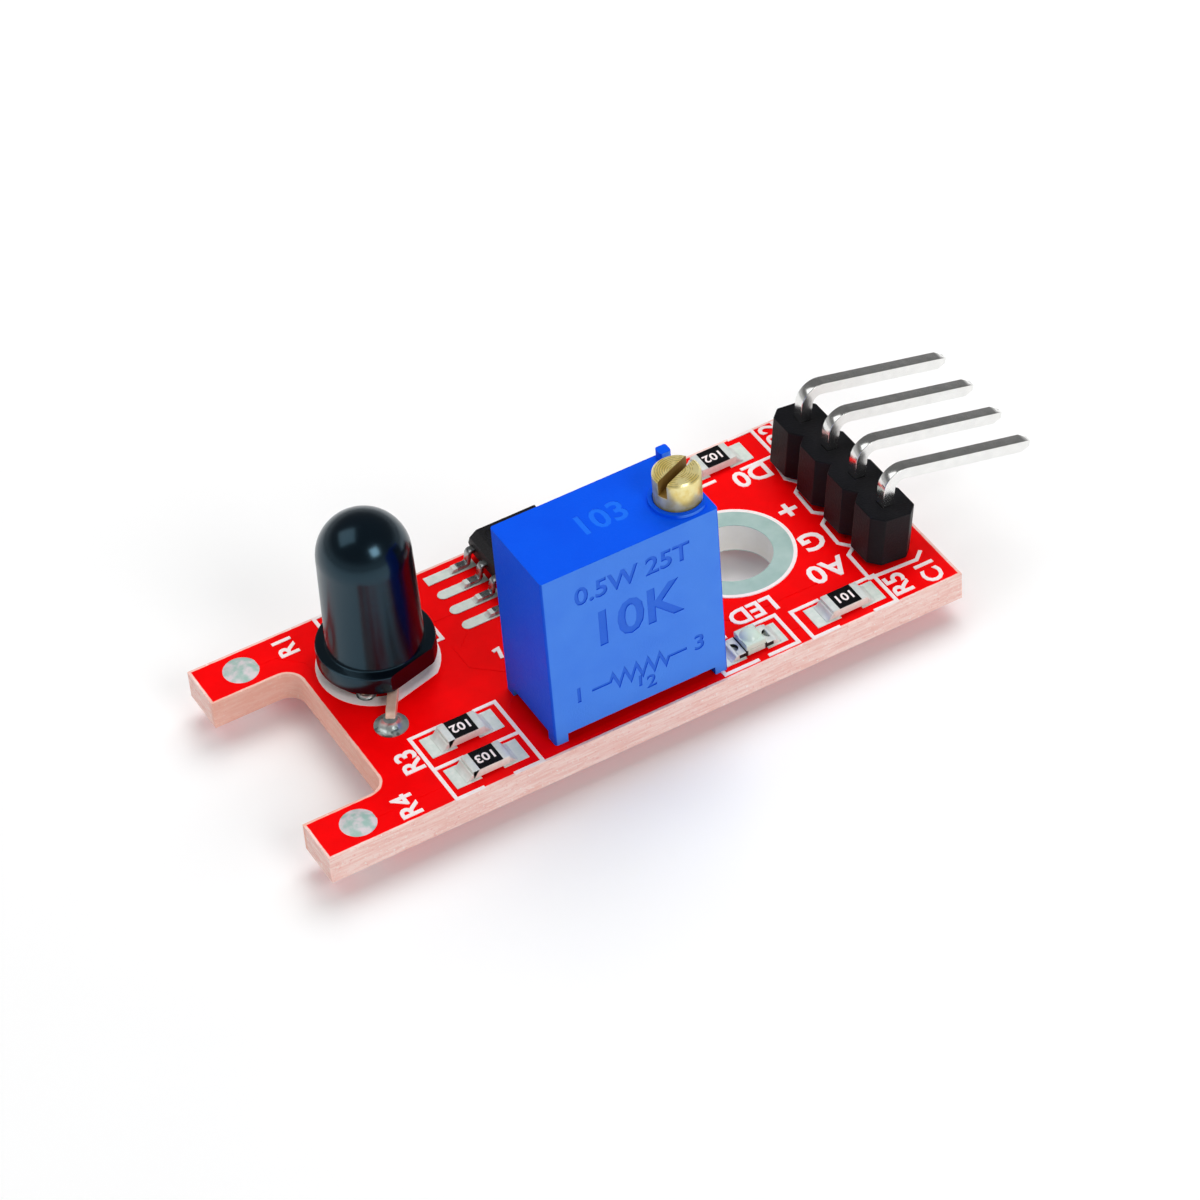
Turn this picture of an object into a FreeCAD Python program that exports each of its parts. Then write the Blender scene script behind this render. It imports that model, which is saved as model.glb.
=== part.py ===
"""Flame sensor module on a small red circuit board.

Frame: +X runs along the board towards the header pins, +Y to the far long edge and +Z up.
The origin is the axis of the mounting hole, on the underside of the board.
All lengths are in millimetres and all angles in degrees.
"""
import FreeCAD, Part
import math
import os

# Board, with a U notch between two prongs at its left end
board_thickness = 1.6
board_width = 15.0
header_to_board_end = 2.5
notch_depth = 4.45
prong_width = 2.7
notch_corner_radius = 0.9
mounting_bore_diameter = 4.1
mounting_ring_width = 1.0
pad_thickness = 0.05

# Where the groups stand along the board, each from the one before it
header_from_mounting_hole = 6.1
trimmer_from_mounting_hole = 4.4
indicator_from_mounting_hole = 2.65
right_resistors_from_mounting_hole = 2.65
resistor_bank_from_trimmer = 3.33
sensor_holes_from_bank = 2.54
sensor_axis_from_holes = 1.52
notch_from_sensor_holes = 2.15
prong_pad_from_end = 2.25

# How far the groups stand from the long edges
trimmer_from_near_edge = 0.58
comparator_from_far_edge = 2.8
comparator_from_trimmer_middle = 0.2
indicator_from_edge = 1.42
right_resistor_from_edge = 1.3
bank_from_edge = 1.4
bank_pitch = 2.43
sensor_from_middle = 2.95

# Solder at the through holes
tail_length = 1.2
solder_height_below = 0.85
solder_height_above = 0.4
joint_pad_radius = 0.85
solder_sides = 12
prong_pad_radius = 0.92
prong_hole_radius = 0.5
prong_solder_height = 0.16
solder_round_wire = 0.05
solder_past_corner = 0.0125

# Sensor in a black epoxy dome, on two bent leads
sensor_height = 8.8
sensor_body_radius = 2.42
sensor_dome_radius = 2.32
sensor_flange_radius = 2.95
sensor_flange_height = 1.0
sensor_flange_flat = 2.6
sensor_flat_direction = -75.0
sensor_lift = 0.62
sensor_edge = 0.12
lead_pitch = 2.54
lead_thickness = 0.5
lead_bend_radius = 0.4
lead_depth_in_epoxy = 2.2
lead_gap_over_pad = 0.05
lead_hole_radius = 0.42

# Multi-turn trimmer: blue housing
trimmer_length = 9.53
trimmer_depth = 4.83
trimmer_height = 10.45
trimmer_foot_height = 0.5
trimmer_foot_side = 0.7
trimmer_wall = 0.65
trimmer_corner_radius = 0.15
trimmer_nub_side = 0.6
trimmer_nub_height = 0.5
trimmer_nub_corner = 0.14
trimmer_boss_depth = 1.7
trimmer_boss_width = 2.35
potting_recess = 0.15

# Trimmer screw, worm and wheel
screw_from_side = 1.2
screw_from_front = 1.65
screw_head_radius = 1.17
screw_head_height = 1.75
screw_head_gap = 0.05
screw_slot_width = 0.5
screw_slot_depth = 0.85
screw_slot_angle = 24.0
screw_edge = 0.12
screw_shaft_radius = 0.65
screw_pilot_radius = 0.4
screw_pilot_depth = 0.4
screw_running_gap = 0.05
collar_radius = 1.45
collar_height = 0.18
collar_setback = 0.35
o_ring_groove_radius = 0.43
o_ring_gap = 0.01
o_ring_sides = 6
clip_thickness = 0.25
clip_groove_radius = 0.45
clip_mouth = 0.8
clip_gap = 0.03
wheel_teeth = 30
wheel_module = 0.22
tooth_addendum = 0.15
tooth_dedendum = 0.2
tooth_backlash = 0.13
tooth_flank_angle = 18.0
tooth_root_overlap = 0.1
worm_pitch_radius = 0.68
worm_turns = 3
wheel_thickness = 1.0
wheel_post_radius = 0.8
wheel_hub_radius = 1.5
wheel_hub_height = 0.25
wheel_gap = 0.1
wiper_thickness = 0.12
wiper_arm_width = 0.7
wiper_gap = 0.03
element_thickness = 0.64
element_margin = 0.05
element_gap = 0.03
track_thickness = 0.03
track_width = 0.8
track_radius = 2.6
track_gap_angle = 50.0

# Trimmer pins
trimmer_pin_pitch = 2.54
trimmer_pin_radius = 0.25
trimmer_pin_grip = 3.0
trimmer_pin_hole_radius = 0.4

# Comparator in an eight-lead small-outline package
comparator_length = 4.9
comparator_width = 3.9
comparator_body_height = 1.45
comparator_standoff = 0.12
comparator_draft = 0.13
comparator_bevel = 0.3
comparator_lead_count = 8
comparator_lead_pitch = 1.27
comparator_lead_width = 0.42
comparator_lead_thickness = 0.2
comparator_lead_span = 6.0
comparator_lead_foot = 0.62
comparator_lead_root = 0.35
comparator_lead_bend = 0.2
comparator_lead_slant = 0.12
comparator_dimple_radius = 0.35
comparator_dimple_depth = 0.06
comparator_dimple_from_bevel = 0.56
comparator_dimple_from_end = 0.7
comparator_pad_width = 0.64
comparator_pad_inner = 2.0
comparator_pad_outer = 4.72

# Chip resistors and indicator lamps
chip_length = 2.0
chip_width = 1.25
resistor_height = 0.5
resistor_cap_length = 0.37
resistor_cap_thickness = 0.03
resistor_glaze_thickness = 0.05
chip_pad_inner = 0.6
chip_pad_outer = 1.95
chip_pad_width = 1.45
indicator_pad_outer = 1.73
fillet_length = 0.4
fillet_height = 0.32
indicator_base_height = 0.3
indicator_notch_radius = 0.3
indicator_cap_length = 0.4
indicator_cap_thickness = 0.04
indicator_lens_length = 1.1
indicator_lens_height = 0.35
indicator_dome_radius = 0.52
indicator_dome_height = 0.3

# Four-pin header, leaning towards the board's end, with its pins bent over
header_pins = 4
header_pitch = 2.54
header_height = 2.8
header_chamfer = 0.55
header_lean = 7.0
header_pin_side = 0.64
header_pin_rise = 0.95
header_pin_bend_radius = 0.8
header_pin_droop = 13.5
header_pin_reach = 7.0
header_pin_taper = 0.5
header_pin_tip = 0.34
header_hole_radius = 0.6

UP = FreeCAD.Vector(0, 0, 1)
ACROSS = FreeCAD.Vector(0, 1, 0)

# Places worked out from the sizes above
board_right = header_from_mounting_hole + header_to_board_end
trimmer_right = -trimmer_from_mounting_hole
trimmer_left = trimmer_right - trimmer_length
trimmer_middle = (trimmer_left + trimmer_right) / 2
bank_x = trimmer_left - resistor_bank_from_trimmer
sensor_hole_x = bank_x - sensor_holes_from_bank
sensor_x = sensor_hole_x + sensor_axis_from_holes
notch_x = sensor_hole_x - notch_from_sensor_holes
board_left = notch_x - notch_depth
near_edge = -board_width / 2
far_edge = board_width / 2
prong_pad_x = board_left + prong_pad_from_end
prong_pad_y = far_edge - prong_width / 2
mounting_radius = mounting_bore_diameter / 2
top = board_thickness
pad_top = board_thickness + pad_thickness
trimmer_front = near_edge + trimmer_from_near_edge
trimmer_back = trimmer_front + trimmer_depth
trimmer_top = top + trimmer_height
trimmer_floor = top + trimmer_foot_height
comparator_x = trimmer_middle + comparator_from_trimmer_middle
comparator_y = far_edge - comparator_from_far_edge
flat_turn = math.radians(sensor_flat_direction)
lead_step_x = lead_pitch / 2 * math.cos(flat_turn)
lead_step_y = lead_pitch / 2 * math.sin(flat_turn)
sensor_y = sensor_from_middle

# Trimmer works, seen from the front
screw_x = trimmer_right - screw_from_side
screw_y = trimmer_front + screw_from_front
wheel_pitch_radius = wheel_module * wheel_teeth / 2
tooth_pitch = math.pi * wheel_module
wheel_x = screw_x - worm_pitch_radius - wheel_pitch_radius
wheel_z = (trimmer_floor + trimmer_top) / 2 - trimmer_wall / 2
wheel_front = screw_y - wheel_thickness / 2
wheel_back = screw_y + wheel_thickness / 2
boss_floor = trimmer_top - trimmer_boss_depth
wiper_front = wheel_back + wheel_hub_height
element_front = wiper_front + wiper_thickness + wiper_gap + track_thickness
element_back = element_front + element_thickness
boss_back = element_front - track_thickness - element_gap
pin_y = element_back + trimmer_pin_radius
pocket_left = trimmer_left + trimmer_wall
pocket_right = trimmer_right - trimmer_wall
pocket_floor = trimmer_floor + trimmer_wall
pocket_top = trimmer_top - trimmer_wall
chamber_radius = worm_pitch_radius + tooth_addendum + screw_running_gap
screw_bore_radius = screw_shaft_radius + screw_running_gap
lead_angle = math.atan(tooth_pitch / (2 * math.pi * worm_pitch_radius))
wire_joint_radius = lead_thickness / math.sqrt(2)
header_joint_radius = header_pin_side / math.sqrt(2) + solder_past_corner
trimmer_joint_radius = trimmer_pin_radius + solder_round_wire


def box(x0, x1, y0, y1, z0, z1):
    """A block between two corners."""
    return Part.makeBox(x1 - x0, y1 - y0, z1 - z0, FreeCAD.Vector(x0, y0, z0))


def centred_box(x, y, length, width, z0, z1):
    """A block standing on z0 with its middle over x, y."""
    return box(x - length / 2, x + length / 2, y - width / 2, y + width / 2, z0, z1)


def rod(x, y, z0, z1, radius):
    """An upright cylinder."""
    return Part.makeCylinder(radius, z1 - z0, FreeCAD.Vector(x, y, z0), UP)


def cross_rod(x, z, y0, y1, radius):
    """A cylinder lying along Y."""
    return Part.makeCylinder(radius, y1 - y0, FreeCAD.Vector(x, y0, z), ACROSS)


def ring(x, y, z0, z1, inner, outer):
    """A flat upright ring."""
    return rod(x, y, z0, z1, outer).cut(rod(x, y, z0, z1, inner))


def line(a, b):
    return Part.LineSegment(a, b).toShape()


def turned(points, x, y, arcs=None):
    """A solid of revolution about a vertical axis, from a profile of (radius, height) points.

    arcs gives, for the edge that starts at a point's index, the middle point of its arc.
    """
    arcs = arcs or {}
    corners = [FreeCAD.Vector(radius, 0, height) for radius, height in points]
    edges = []
    for index, start in enumerate(corners):
        end = corners[(index + 1) % len(corners)]
        if index in arcs:
            middle = FreeCAD.Vector(arcs[index][0], 0, arcs[index][1])
            edges.append(Part.Arc(start, middle, end).toShape())
        else:
            edges.append(line(start, end))
    profile = Part.Face(Part.Wire(edges))
    solid = profile.revolve(FreeCAD.Vector(0, 0, 0), UP, 360)
    solid.translate(FreeCAD.Vector(x, y, 0))
    return solid


def strip(points, bend_radius, thickness, width):
    """A bar of flat section bent along a route in the XZ plane, centred on Y = 0."""
    route = [FreeCAD.Vector(x, 0, z) for x, z in points]
    half = thickness / 2
    sides = {1: [], -1: []}
    here = {}
    for side in sides:
        first = (route[1] - route[0]).normalize()
        left = FreeCAD.Vector(-first.z, 0, first.x)
        here[side] = route[0] + left * (half * side)
    start_cap = dict(here)
    for index in range(1, len(route) - 1):
        before = (route[index] - route[index - 1]).normalize()
        after = (route[index + 1] - route[index]).normalize()
        turn = math.atan2(before.x * after.z - before.z * after.x, before.x * after.x + before.z * after.z)
        bend_side = 1 if turn > 0 else -1
        setback = bend_radius * math.tan(abs(turn) / 2)
        left_before = FreeCAD.Vector(-before.z, 0, before.x)
        left_after = FreeCAD.Vector(-after.z, 0, after.x)
        left_middle = (left_before + left_after).normalize()
        centre = route[index] - before * setback + left_before * (bend_radius * bend_side)
        for side in sides:
            reach = (bend_radius - half * side * bend_side) * -bend_side
            arc_start = centre + left_before * reach
            arc_end = centre + left_after * reach
            arc_middle = centre + left_middle * reach
            sides[side].append(line(here[side], arc_start))
            sides[side].append(Part.Arc(arc_start, arc_middle, arc_end).toShape())
            here[side] = arc_end
    last = (route[-1] - route[-2]).normalize()
    left = FreeCAD.Vector(-last.z, 0, last.x)
    end_cap = {}
    for side in sides:
        end_cap[side] = route[-1] + left * (half * side)
        sides[side].append(line(here[side], end_cap[side]))
    edges = sides[1] + [line(end_cap[1], end_cap[-1])] + sides[-1] + [line(start_cap[-1], start_cap[1])]
    face = Part.Face(Part.Wire(Part.__sortEdges__(edges)))
    bar = face.extrude(FreeCAD.Vector(0, width, 0))
    bar.translate(FreeCAD.Vector(0, -width / 2, 0))
    return bar


def cap_middle(half_chord, rise):
    """Distance from the axis and height over the rim, halfway up the side of a shallow round cap."""
    ball = (half_chord ** 2 + rise ** 2) / (2 * rise)
    turn = math.asin(half_chord / ball) / 2
    return ball * math.sin(turn), rise - ball * (1 - math.cos(turn))


def many_sided(x, y, radius, z):
    """The outline of a pad or of a section through its solder: a regular polygon about x, y."""
    corners = []
    for step in range(solder_sides + 1):
        turn = 2 * math.pi * step / solder_sides
        corners.append(FreeCAD.Vector(x + radius * math.cos(turn), y + radius * math.sin(turn), z))
    return Part.makePolygon(corners)


def solder_joint(x, y, hole_radius, pin_radius, above, pin):
    """A plated and soldered hole: both pads, the filled barrel and the solder up the pin, below and above."""
    pad_radius = joint_pad_radius
    crest = -pad_thickness - solder_height_below
    rise = FreeCAD.Vector(0, 0, pad_thickness)
    solder = rod(x, y, 0, top, hole_radius)
    lower_cone = [many_sided(x, y, pad_radius, -pad_thickness), many_sided(x, y, pin_radius, crest)]
    pieces = [
        Part.Face(many_sided(x, y, pad_radius, -pad_thickness)).extrude(rise),
        Part.Face(many_sided(x, y, pad_radius, top)).extrude(rise),
        Part.makeLoft(lower_cone, True, True),
    ]
    if above > 0:
        upper_cone = [many_sided(x, y, pad_radius, pad_top), many_sided(x, y, pin_radius, pad_top + above)]
        pieces.append(Part.makeLoft(upper_cone, True, True))
    return solder.fuse(pieces).removeSplitter().cut(pin)


def chip_places():
    """Name, x and y of every chip resistor."""
    right_x = right_resistors_from_mounting_hole
    right_y = far_edge - right_resistor_from_edge
    bank_y = far_edge - bank_from_edge
    return [
        ("resistor_1", bank_x, bank_y),
        ("resistor_2", bank_x, bank_pitch - bank_y),
        ("resistor_3", bank_x, -bank_y),
        ("resistor_4", right_x, right_y),
        ("resistor_5", right_x, -right_y),
    ]


def indicator_places():
    """Name, x and y of the two indicator lamps, one at each long edge."""
    y = far_edge - indicator_from_edge
    return [
        ("power_indicator", -indicator_from_mounting_hole, y),
        ("output_indicator", -indicator_from_mounting_hole, -y),
    ]


def header_rows():
    """The y of every header pin, from the far side to the near side."""
    middle = (header_pins - 1) / 2
    return [(middle - index) * header_pitch for index in range(header_pins)]


def comparator_rows():
    """The y of each pair of comparator leads, from the far side to the near side."""
    pairs = comparator_lead_count // 2
    middle = (pairs - 1) / 2
    return [comparator_y + (middle - index) * comparator_lead_pitch for index in range(pairs)]


def trimmer_pin_places():
    return [trimmer_middle + step * trimmer_pin_pitch for step in (-1, 0, 1)]


def sensor_lead_places():
    """Exit from the epoxy and hole in the board, for the near lead and the far lead."""
    near = (sensor_x + lead_step_x, sensor_y + lead_step_y, -lead_pitch / 2)
    far = (sensor_x - lead_step_x, sensor_y - lead_step_y, lead_pitch / 2)
    return [("sensor_lead_near",) + near, ("sensor_lead_far",) + far]


def through_holes():
    """x, y and radius of every plated hole that takes a wire."""
    holes = [(sensor_hole_x, hole_y, lead_hole_radius) for name, x, y, hole_y in sensor_lead_places()]
    holes += [(x, pin_y, trimmer_pin_hole_radius) for x in trimmer_pin_places()]
    holes += [(header_from_mounting_hole, y, header_hole_radius) for y in header_rows()]
    return holes


def prong_places():
    return [(prong_pad_x, prong_pad_y), (prong_pad_x, -prong_pad_y)]


def make_board():
    board = box(board_left, board_right, near_edge, far_edge, 0, board_thickness)
    inner = far_edge - prong_width
    reach = notch_corner_radius * 4
    notch = box(board_left - reach, notch_x, -inner, inner, 0, board_thickness)
    corners = [edge for edge in notch.Edges
               if abs(edge.CenterOfMass.x - notch_x) < 1e-6
               and abs(edge.CenterOfMass.z - board_thickness / 2) < 1e-6
               and abs(abs(edge.CenterOfMass.y) - inner) < 1e-6]
    notch = notch.makeFillet(notch_corner_radius, corners)
    board = board.cut(notch)
    board = board.cut(rod(0, 0, 0, board_thickness, mounting_radius))
    for x, y, radius in through_holes():
        board = board.cut(rod(x, y, 0, board_thickness, radius))
    for x, y in prong_places():
        board = board.cut(rod(x, y, 0, board_thickness, prong_hole_radius))
    return board


def make_mounting_ring():
    outer = mounting_radius + mounting_ring_width
    upper = ring(0, 0, top, pad_top, mounting_radius, outer)
    lower = ring(0, 0, -pad_thickness, 0, mounting_radius, outer)
    return [upper, lower]


def comparator_pad(y, side, square):
    """One long pad, square or round at its outer end."""
    inner = comparator_x + side * comparator_pad_inner
    outer = comparator_x + side * comparator_pad_outer
    half = comparator_pad_width / 2
    if square:
        return box(min(inner, outer), max(inner, outer), y - half, y + half, top, pad_top)
    straight = outer - side * half
    bar = box(min(inner, straight), max(inner, straight), y - half, y + half, top, pad_top)
    return bar.fuse(rod(straight, y, top, pad_top, half)).removeSplitter()


def make_top_pads():
    """Tinned pads on the upper face, under the chips, the lamps and the comparator."""
    pads = []
    for name, x, y in chip_places() + indicator_places():
        outer = indicator_pad_outer if "indicator" in name else chip_pad_outer
        for side in (-1, 1):
            middle = x + side * (chip_pad_inner + outer) / 2
            length = outer - chip_pad_inner
            pads.append(centred_box(middle, y, length, chip_pad_width, top, pad_top))
    for row, y in enumerate(comparator_rows()):
        for side in (-1, 1):
            pads.append(comparator_pad(y, side, row == 0 and side < 0))
    return pads


def make_prong_solder():
    """Low domes of solder over and through the hole in each prong."""
    shoulder, swell = cap_middle(prong_pad_radius, prong_solder_height)
    outline = [
        (0, -prong_solder_height),
        (prong_pad_radius, 0),
        (prong_hole_radius, 0),
        (prong_hole_radius, top),
        (prong_pad_radius, top),
        (0, top + prong_solder_height),
    ]
    arcs = {0: (shoulder, -swell), 4: (shoulder, top + swell)}
    return [turned(outline, x, y, arcs) for x, y in prong_places()]


def make_sensor_lead(exit_x, exit_y, hole_y):
    """A square wire from inside the epoxy, bent over the board and down through its hole."""
    run = math.hypot(exit_x - sensor_hole_x, exit_y - hole_y)
    heading = math.degrees(math.atan2(hole_y - exit_y, sensor_hole_x - exit_x))
    run_z = pad_top + lead_gap_over_pad + lead_thickness / 2
    start_z = top + sensor_lift + lead_depth_in_epoxy
    route = [(0, start_z), (0, run_z), (run, run_z), (run, -tail_length)]
    lead = strip(route, lead_bend_radius, lead_thickness, lead_thickness)
    lead.rotate(FreeCAD.Vector(0, 0, 0), UP, heading)
    lead.translate(FreeCAD.Vector(exit_x, exit_y, 0))
    return lead


def make_sensor_lens(leads):
    """Black epoxy: a flange with one flat, a slightly tapered body and a round dome."""
    base = top + sensor_lift
    flange_top = base + sensor_flange_height
    spring = base + sensor_height - sensor_dome_radius
    slant = sensor_dome_radius * math.sin(math.radians(45))
    points = [
        (0, base),
        (sensor_flange_radius, base),
        (sensor_flange_radius, flange_top - sensor_edge),
        (sensor_flange_radius - sensor_edge, flange_top),
        (sensor_body_radius, flange_top),
        (sensor_dome_radius, spring),
        (0, spring + sensor_dome_radius),
    ]
    lens = turned(points, sensor_x, sensor_y, {5: (slant, spring + slant)})
    offcut = box(sensor_flange_flat, 2 * sensor_flange_radius, -sensor_flange_radius, sensor_flange_radius,
                 base, flange_top)
    offcut.rotate(FreeCAD.Vector(0, 0, 0), UP, sensor_flat_direction)
    offcut.translate(FreeCAD.Vector(sensor_x, sensor_y, 0))
    lens = lens.cut(offcut)
    for lead in leads:
        lens = lens.cut(lead)
    return lens


def make_screw():
    """Slotted brass head, grooved shaft, worm and pilot, turned and cut as one piece."""
    head_bottom = trimmer_top + screw_head_gap
    head_top = trimmer_top + screw_head_height
    pilot_end = pocket_floor - screw_pilot_depth + screw_running_gap
    core = worm_pitch_radius - tooth_dedendum
    clip_high = boss_floor - clip_gap
    clip_low = clip_high - clip_thickness
    shaft_end = clip_low - clip_thickness
    o_ring_z = (trimmer_top + boss_floor) / 2
    groove_half = (screw_bore_radius - o_ring_groove_radius) / 2 + clip_gap
    points = [
        (0, pilot_end),
        (screw_pilot_radius, pilot_end),
        (screw_pilot_radius, pocket_floor + screw_running_gap),
        (core, pocket_floor + screw_running_gap),
        (core, shaft_end),
        (screw_shaft_radius, shaft_end),
        (screw_shaft_radius, clip_low),
        (clip_groove_radius, clip_low),
        (clip_groove_radius, clip_high),
        (screw_shaft_radius, clip_high),
        (screw_shaft_radius, o_ring_z - groove_half),
        (o_ring_groove_radius, o_ring_z - groove_half),
        (o_ring_groove_radius, o_ring_z + groove_half),
        (screw_shaft_radius, o_ring_z + groove_half),
        (screw_shaft_radius, head_bottom),
        (screw_head_radius, head_bottom),
        (screw_head_radius, head_top - screw_edge),
        (screw_head_radius - screw_edge, head_top),
        (0, head_top),
    ]
    screw = turned(points, screw_x, screw_y)
    slot = box(-2 * screw_head_radius, 2 * screw_head_radius, -screw_slot_width / 2, screw_slot_width / 2,
               head_top - screw_slot_depth, head_top + screw_slot_depth)
    slot.rotate(FreeCAD.Vector(0, 0, 0), UP, screw_slot_angle)
    slot.translate(FreeCAD.Vector(screw_x, screw_y, 0))
    screw = screw.cut(slot)
    return screw.fuse(make_worm_thread(core))


def make_worm_thread(core):
    """The right-hand helical thread, in step with the gap between two wheel teeth at rest."""
    outer = worm_pitch_radius + tooth_addendum
    root = core - tooth_root_overlap
    slope = math.tan(math.radians(tooth_flank_angle))
    half_pitch_width = (tooth_pitch - tooth_backlash) / 4
    half_outer = half_pitch_width - tooth_addendum * slope
    half_root = half_pitch_width + (worm_pitch_radius - root) * slope
    length = worm_turns * tooth_pitch
    bottom = wheel_z - (worm_turns // 2 + 0.5) * tooth_pitch
    helix = Part.makeHelix(tooth_pitch, length, worm_pitch_radius)
    corners = [
        FreeCAD.Vector(root, 0, -half_root),
        FreeCAD.Vector(outer, 0, -half_outer),
        FreeCAD.Vector(outer, 0, half_outer),
        FreeCAD.Vector(root, 0, half_root),
    ]
    profile = Part.makePolygon(corners + [corners[0]])
    thread = Part.Wire(helix.Edges).makePipeShell([profile], True, True)
    thread.rotate(FreeCAD.Vector(0, 0, 0), UP, 180)
    thread.translate(FreeCAD.Vector(screw_x, screw_y, bottom))
    return thread


def make_wheel():
    """The worm wheel: teeth at the thread's lead angle round a disc, and a hub for the housing's post."""
    outer = wheel_pitch_radius + tooth_addendum
    root = wheel_pitch_radius - tooth_dedendum
    slope = math.tan(math.radians(tooth_flank_angle))
    half_pitch_width = (tooth_pitch - tooth_backlash) / 4
    half_outer = half_pitch_width - tooth_addendum * slope
    half_root = half_pitch_width + tooth_dedendum * slope
    step = 360.0 / wheel_teeth
    wheel = cross_rod(0, 0, wheel_front, wheel_back, root)
    inside = root - tooth_root_overlap
    tooth_profile = Part.makePolygon([
        FreeCAD.Vector(inside, screw_y - wheel_thickness, -half_root),
        FreeCAD.Vector(root, screw_y - wheel_thickness, -half_root),
        FreeCAD.Vector(outer, screw_y - wheel_thickness, -half_outer),
        FreeCAD.Vector(outer, screw_y - wheel_thickness, half_outer),
        FreeCAD.Vector(root, screw_y - wheel_thickness, half_root),
        FreeCAD.Vector(inside, screw_y - wheel_thickness, half_root),
        FreeCAD.Vector(inside, screw_y - wheel_thickness, -half_root),
    ])
    tooth = Part.Face(tooth_profile).extrude(FreeCAD.Vector(0, 2 * wheel_thickness, 0))
    tooth.rotate(FreeCAD.Vector(0, screw_y, 0), FreeCAD.Vector(1, 0, 0), -math.degrees(lead_angle))
    tooth = tooth.common(cross_rod(0, 0, wheel_front, wheel_back, 2 * outer))
    teeth = []
    for index in range(wheel_teeth):
        copy = tooth.copy()
        copy.rotate(FreeCAD.Vector(0, 0, 0), ACROSS, index * step)
        teeth.append(copy)
    wheel = wheel.fuse(teeth)
    wheel = wheel.fuse(cross_rod(0, 0, wheel_back, wiper_front, wheel_hub_radius))
    wheel = wheel.cut(cross_rod(0, 0, wheel_front, wiper_front, wheel_post_radius + screw_running_gap))
    wheel.translate(FreeCAD.Vector(wheel_x, 0, wheel_z))
    return wheel.removeSplitter()


def make_wiper():
    """The spring contact on the wheel's hub: a ring with one arm out to the track."""
    back = wiper_front + wiper_thickness
    hub = cross_rod(0, 0, wiper_front, back, wheel_hub_radius)
    half = wiper_arm_width / 2
    tip = track_radius + track_width / 2
    arm = box(-half, half, wiper_front, back, 0, tip)
    wiper = hub.fuse(arm).cut(cross_rod(0, 0, wiper_front, back, wheel_post_radius + screw_running_gap))
    wiper.translate(FreeCAD.Vector(wheel_x, 0, wheel_z))
    return wiper.removeSplitter()


def make_element():
    """The ceramic plate that closes the works off from the potting."""
    gap = element_margin
    return box(pocket_left + gap, pocket_right - gap, element_front, element_back,
               pocket_floor + gap, pocket_top - gap)


def make_track():
    """The printed resistive track and its centre contact, in front of the ceramic plate."""
    front = element_front - track_thickness
    outer = cross_rod(0, 0, front, element_front, track_radius + track_width / 2)
    track = outer.cut(cross_rod(0, 0, front, element_front, track_radius - track_width / 2))
    reach = 2 * track_radius
    half_gap = math.radians(track_gap_angle / 2)
    wedge = Part.Face(Part.makePolygon([
        FreeCAD.Vector(0, front, 0),
        FreeCAD.Vector(reach * math.sin(half_gap), front, -reach * math.cos(half_gap)),
        FreeCAD.Vector(-reach * math.sin(half_gap), front, -reach * math.cos(half_gap)),
        FreeCAD.Vector(0, front, 0),
    ])).extrude(FreeCAD.Vector(0, track_thickness, 0))
    track = track.cut(wedge)
    contact = cross_rod(0, 0, front, element_front, wheel_hub_radius)
    contact = contact.cut(cross_rod(0, 0, front, element_front, wheel_post_radius + screw_running_gap))
    for shape in (track, contact):
        shape.translate(FreeCAD.Vector(wheel_x, 0, wheel_z))
    return [track, contact]


def make_o_ring():
    """The rubber ring in the screw's upper groove, which seals the bore of the boss."""
    height = (trimmer_top + boss_floor) / 2
    section = (screw_bore_radius - o_ring_groove_radius - o_ring_gap) / 2
    radius = o_ring_groove_radius + section
    corner = section / math.cos(math.pi / o_ring_sides)
    points = []
    for step in range(o_ring_sides):
        turn = 2 * math.pi * (step + 0.5) / o_ring_sides
        points.append((radius + corner * math.cos(turn), height + corner * math.sin(turn)))
    return turned(points, screw_x, screw_y)


def make_clip():
    """An open ring under the boss, snapped into the lower groove of the screw's shaft to hold it in."""
    high = boss_floor - clip_gap
    low = high - clip_thickness
    half = clip_mouth / 2
    plate = ring(screw_x, screw_y, low, high, clip_groove_radius, chamber_radius - clip_gap)
    mouth = box(screw_x - half, screw_x + half, screw_y, screw_y + chamber_radius, low, high)
    return plate.cut(mouth)


def make_trimmer_pin(x):
    """A round pin soldered to the back of the ceramic plate, down through the potting and the board."""
    return rod(x, pin_y, -tail_length, pocket_floor + trimmer_pin_grip, trimmer_pin_radius)


def make_potting(pins):
    """Epoxy that fills the open back of the housing, behind the plate and round the pins."""
    potting = box(pocket_left, pocket_right, element_back, trimmer_back - potting_recess,
                  pocket_floor, pocket_top)
    for pin in pins:
        potting = potting.cut(pin)
    return potting


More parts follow.
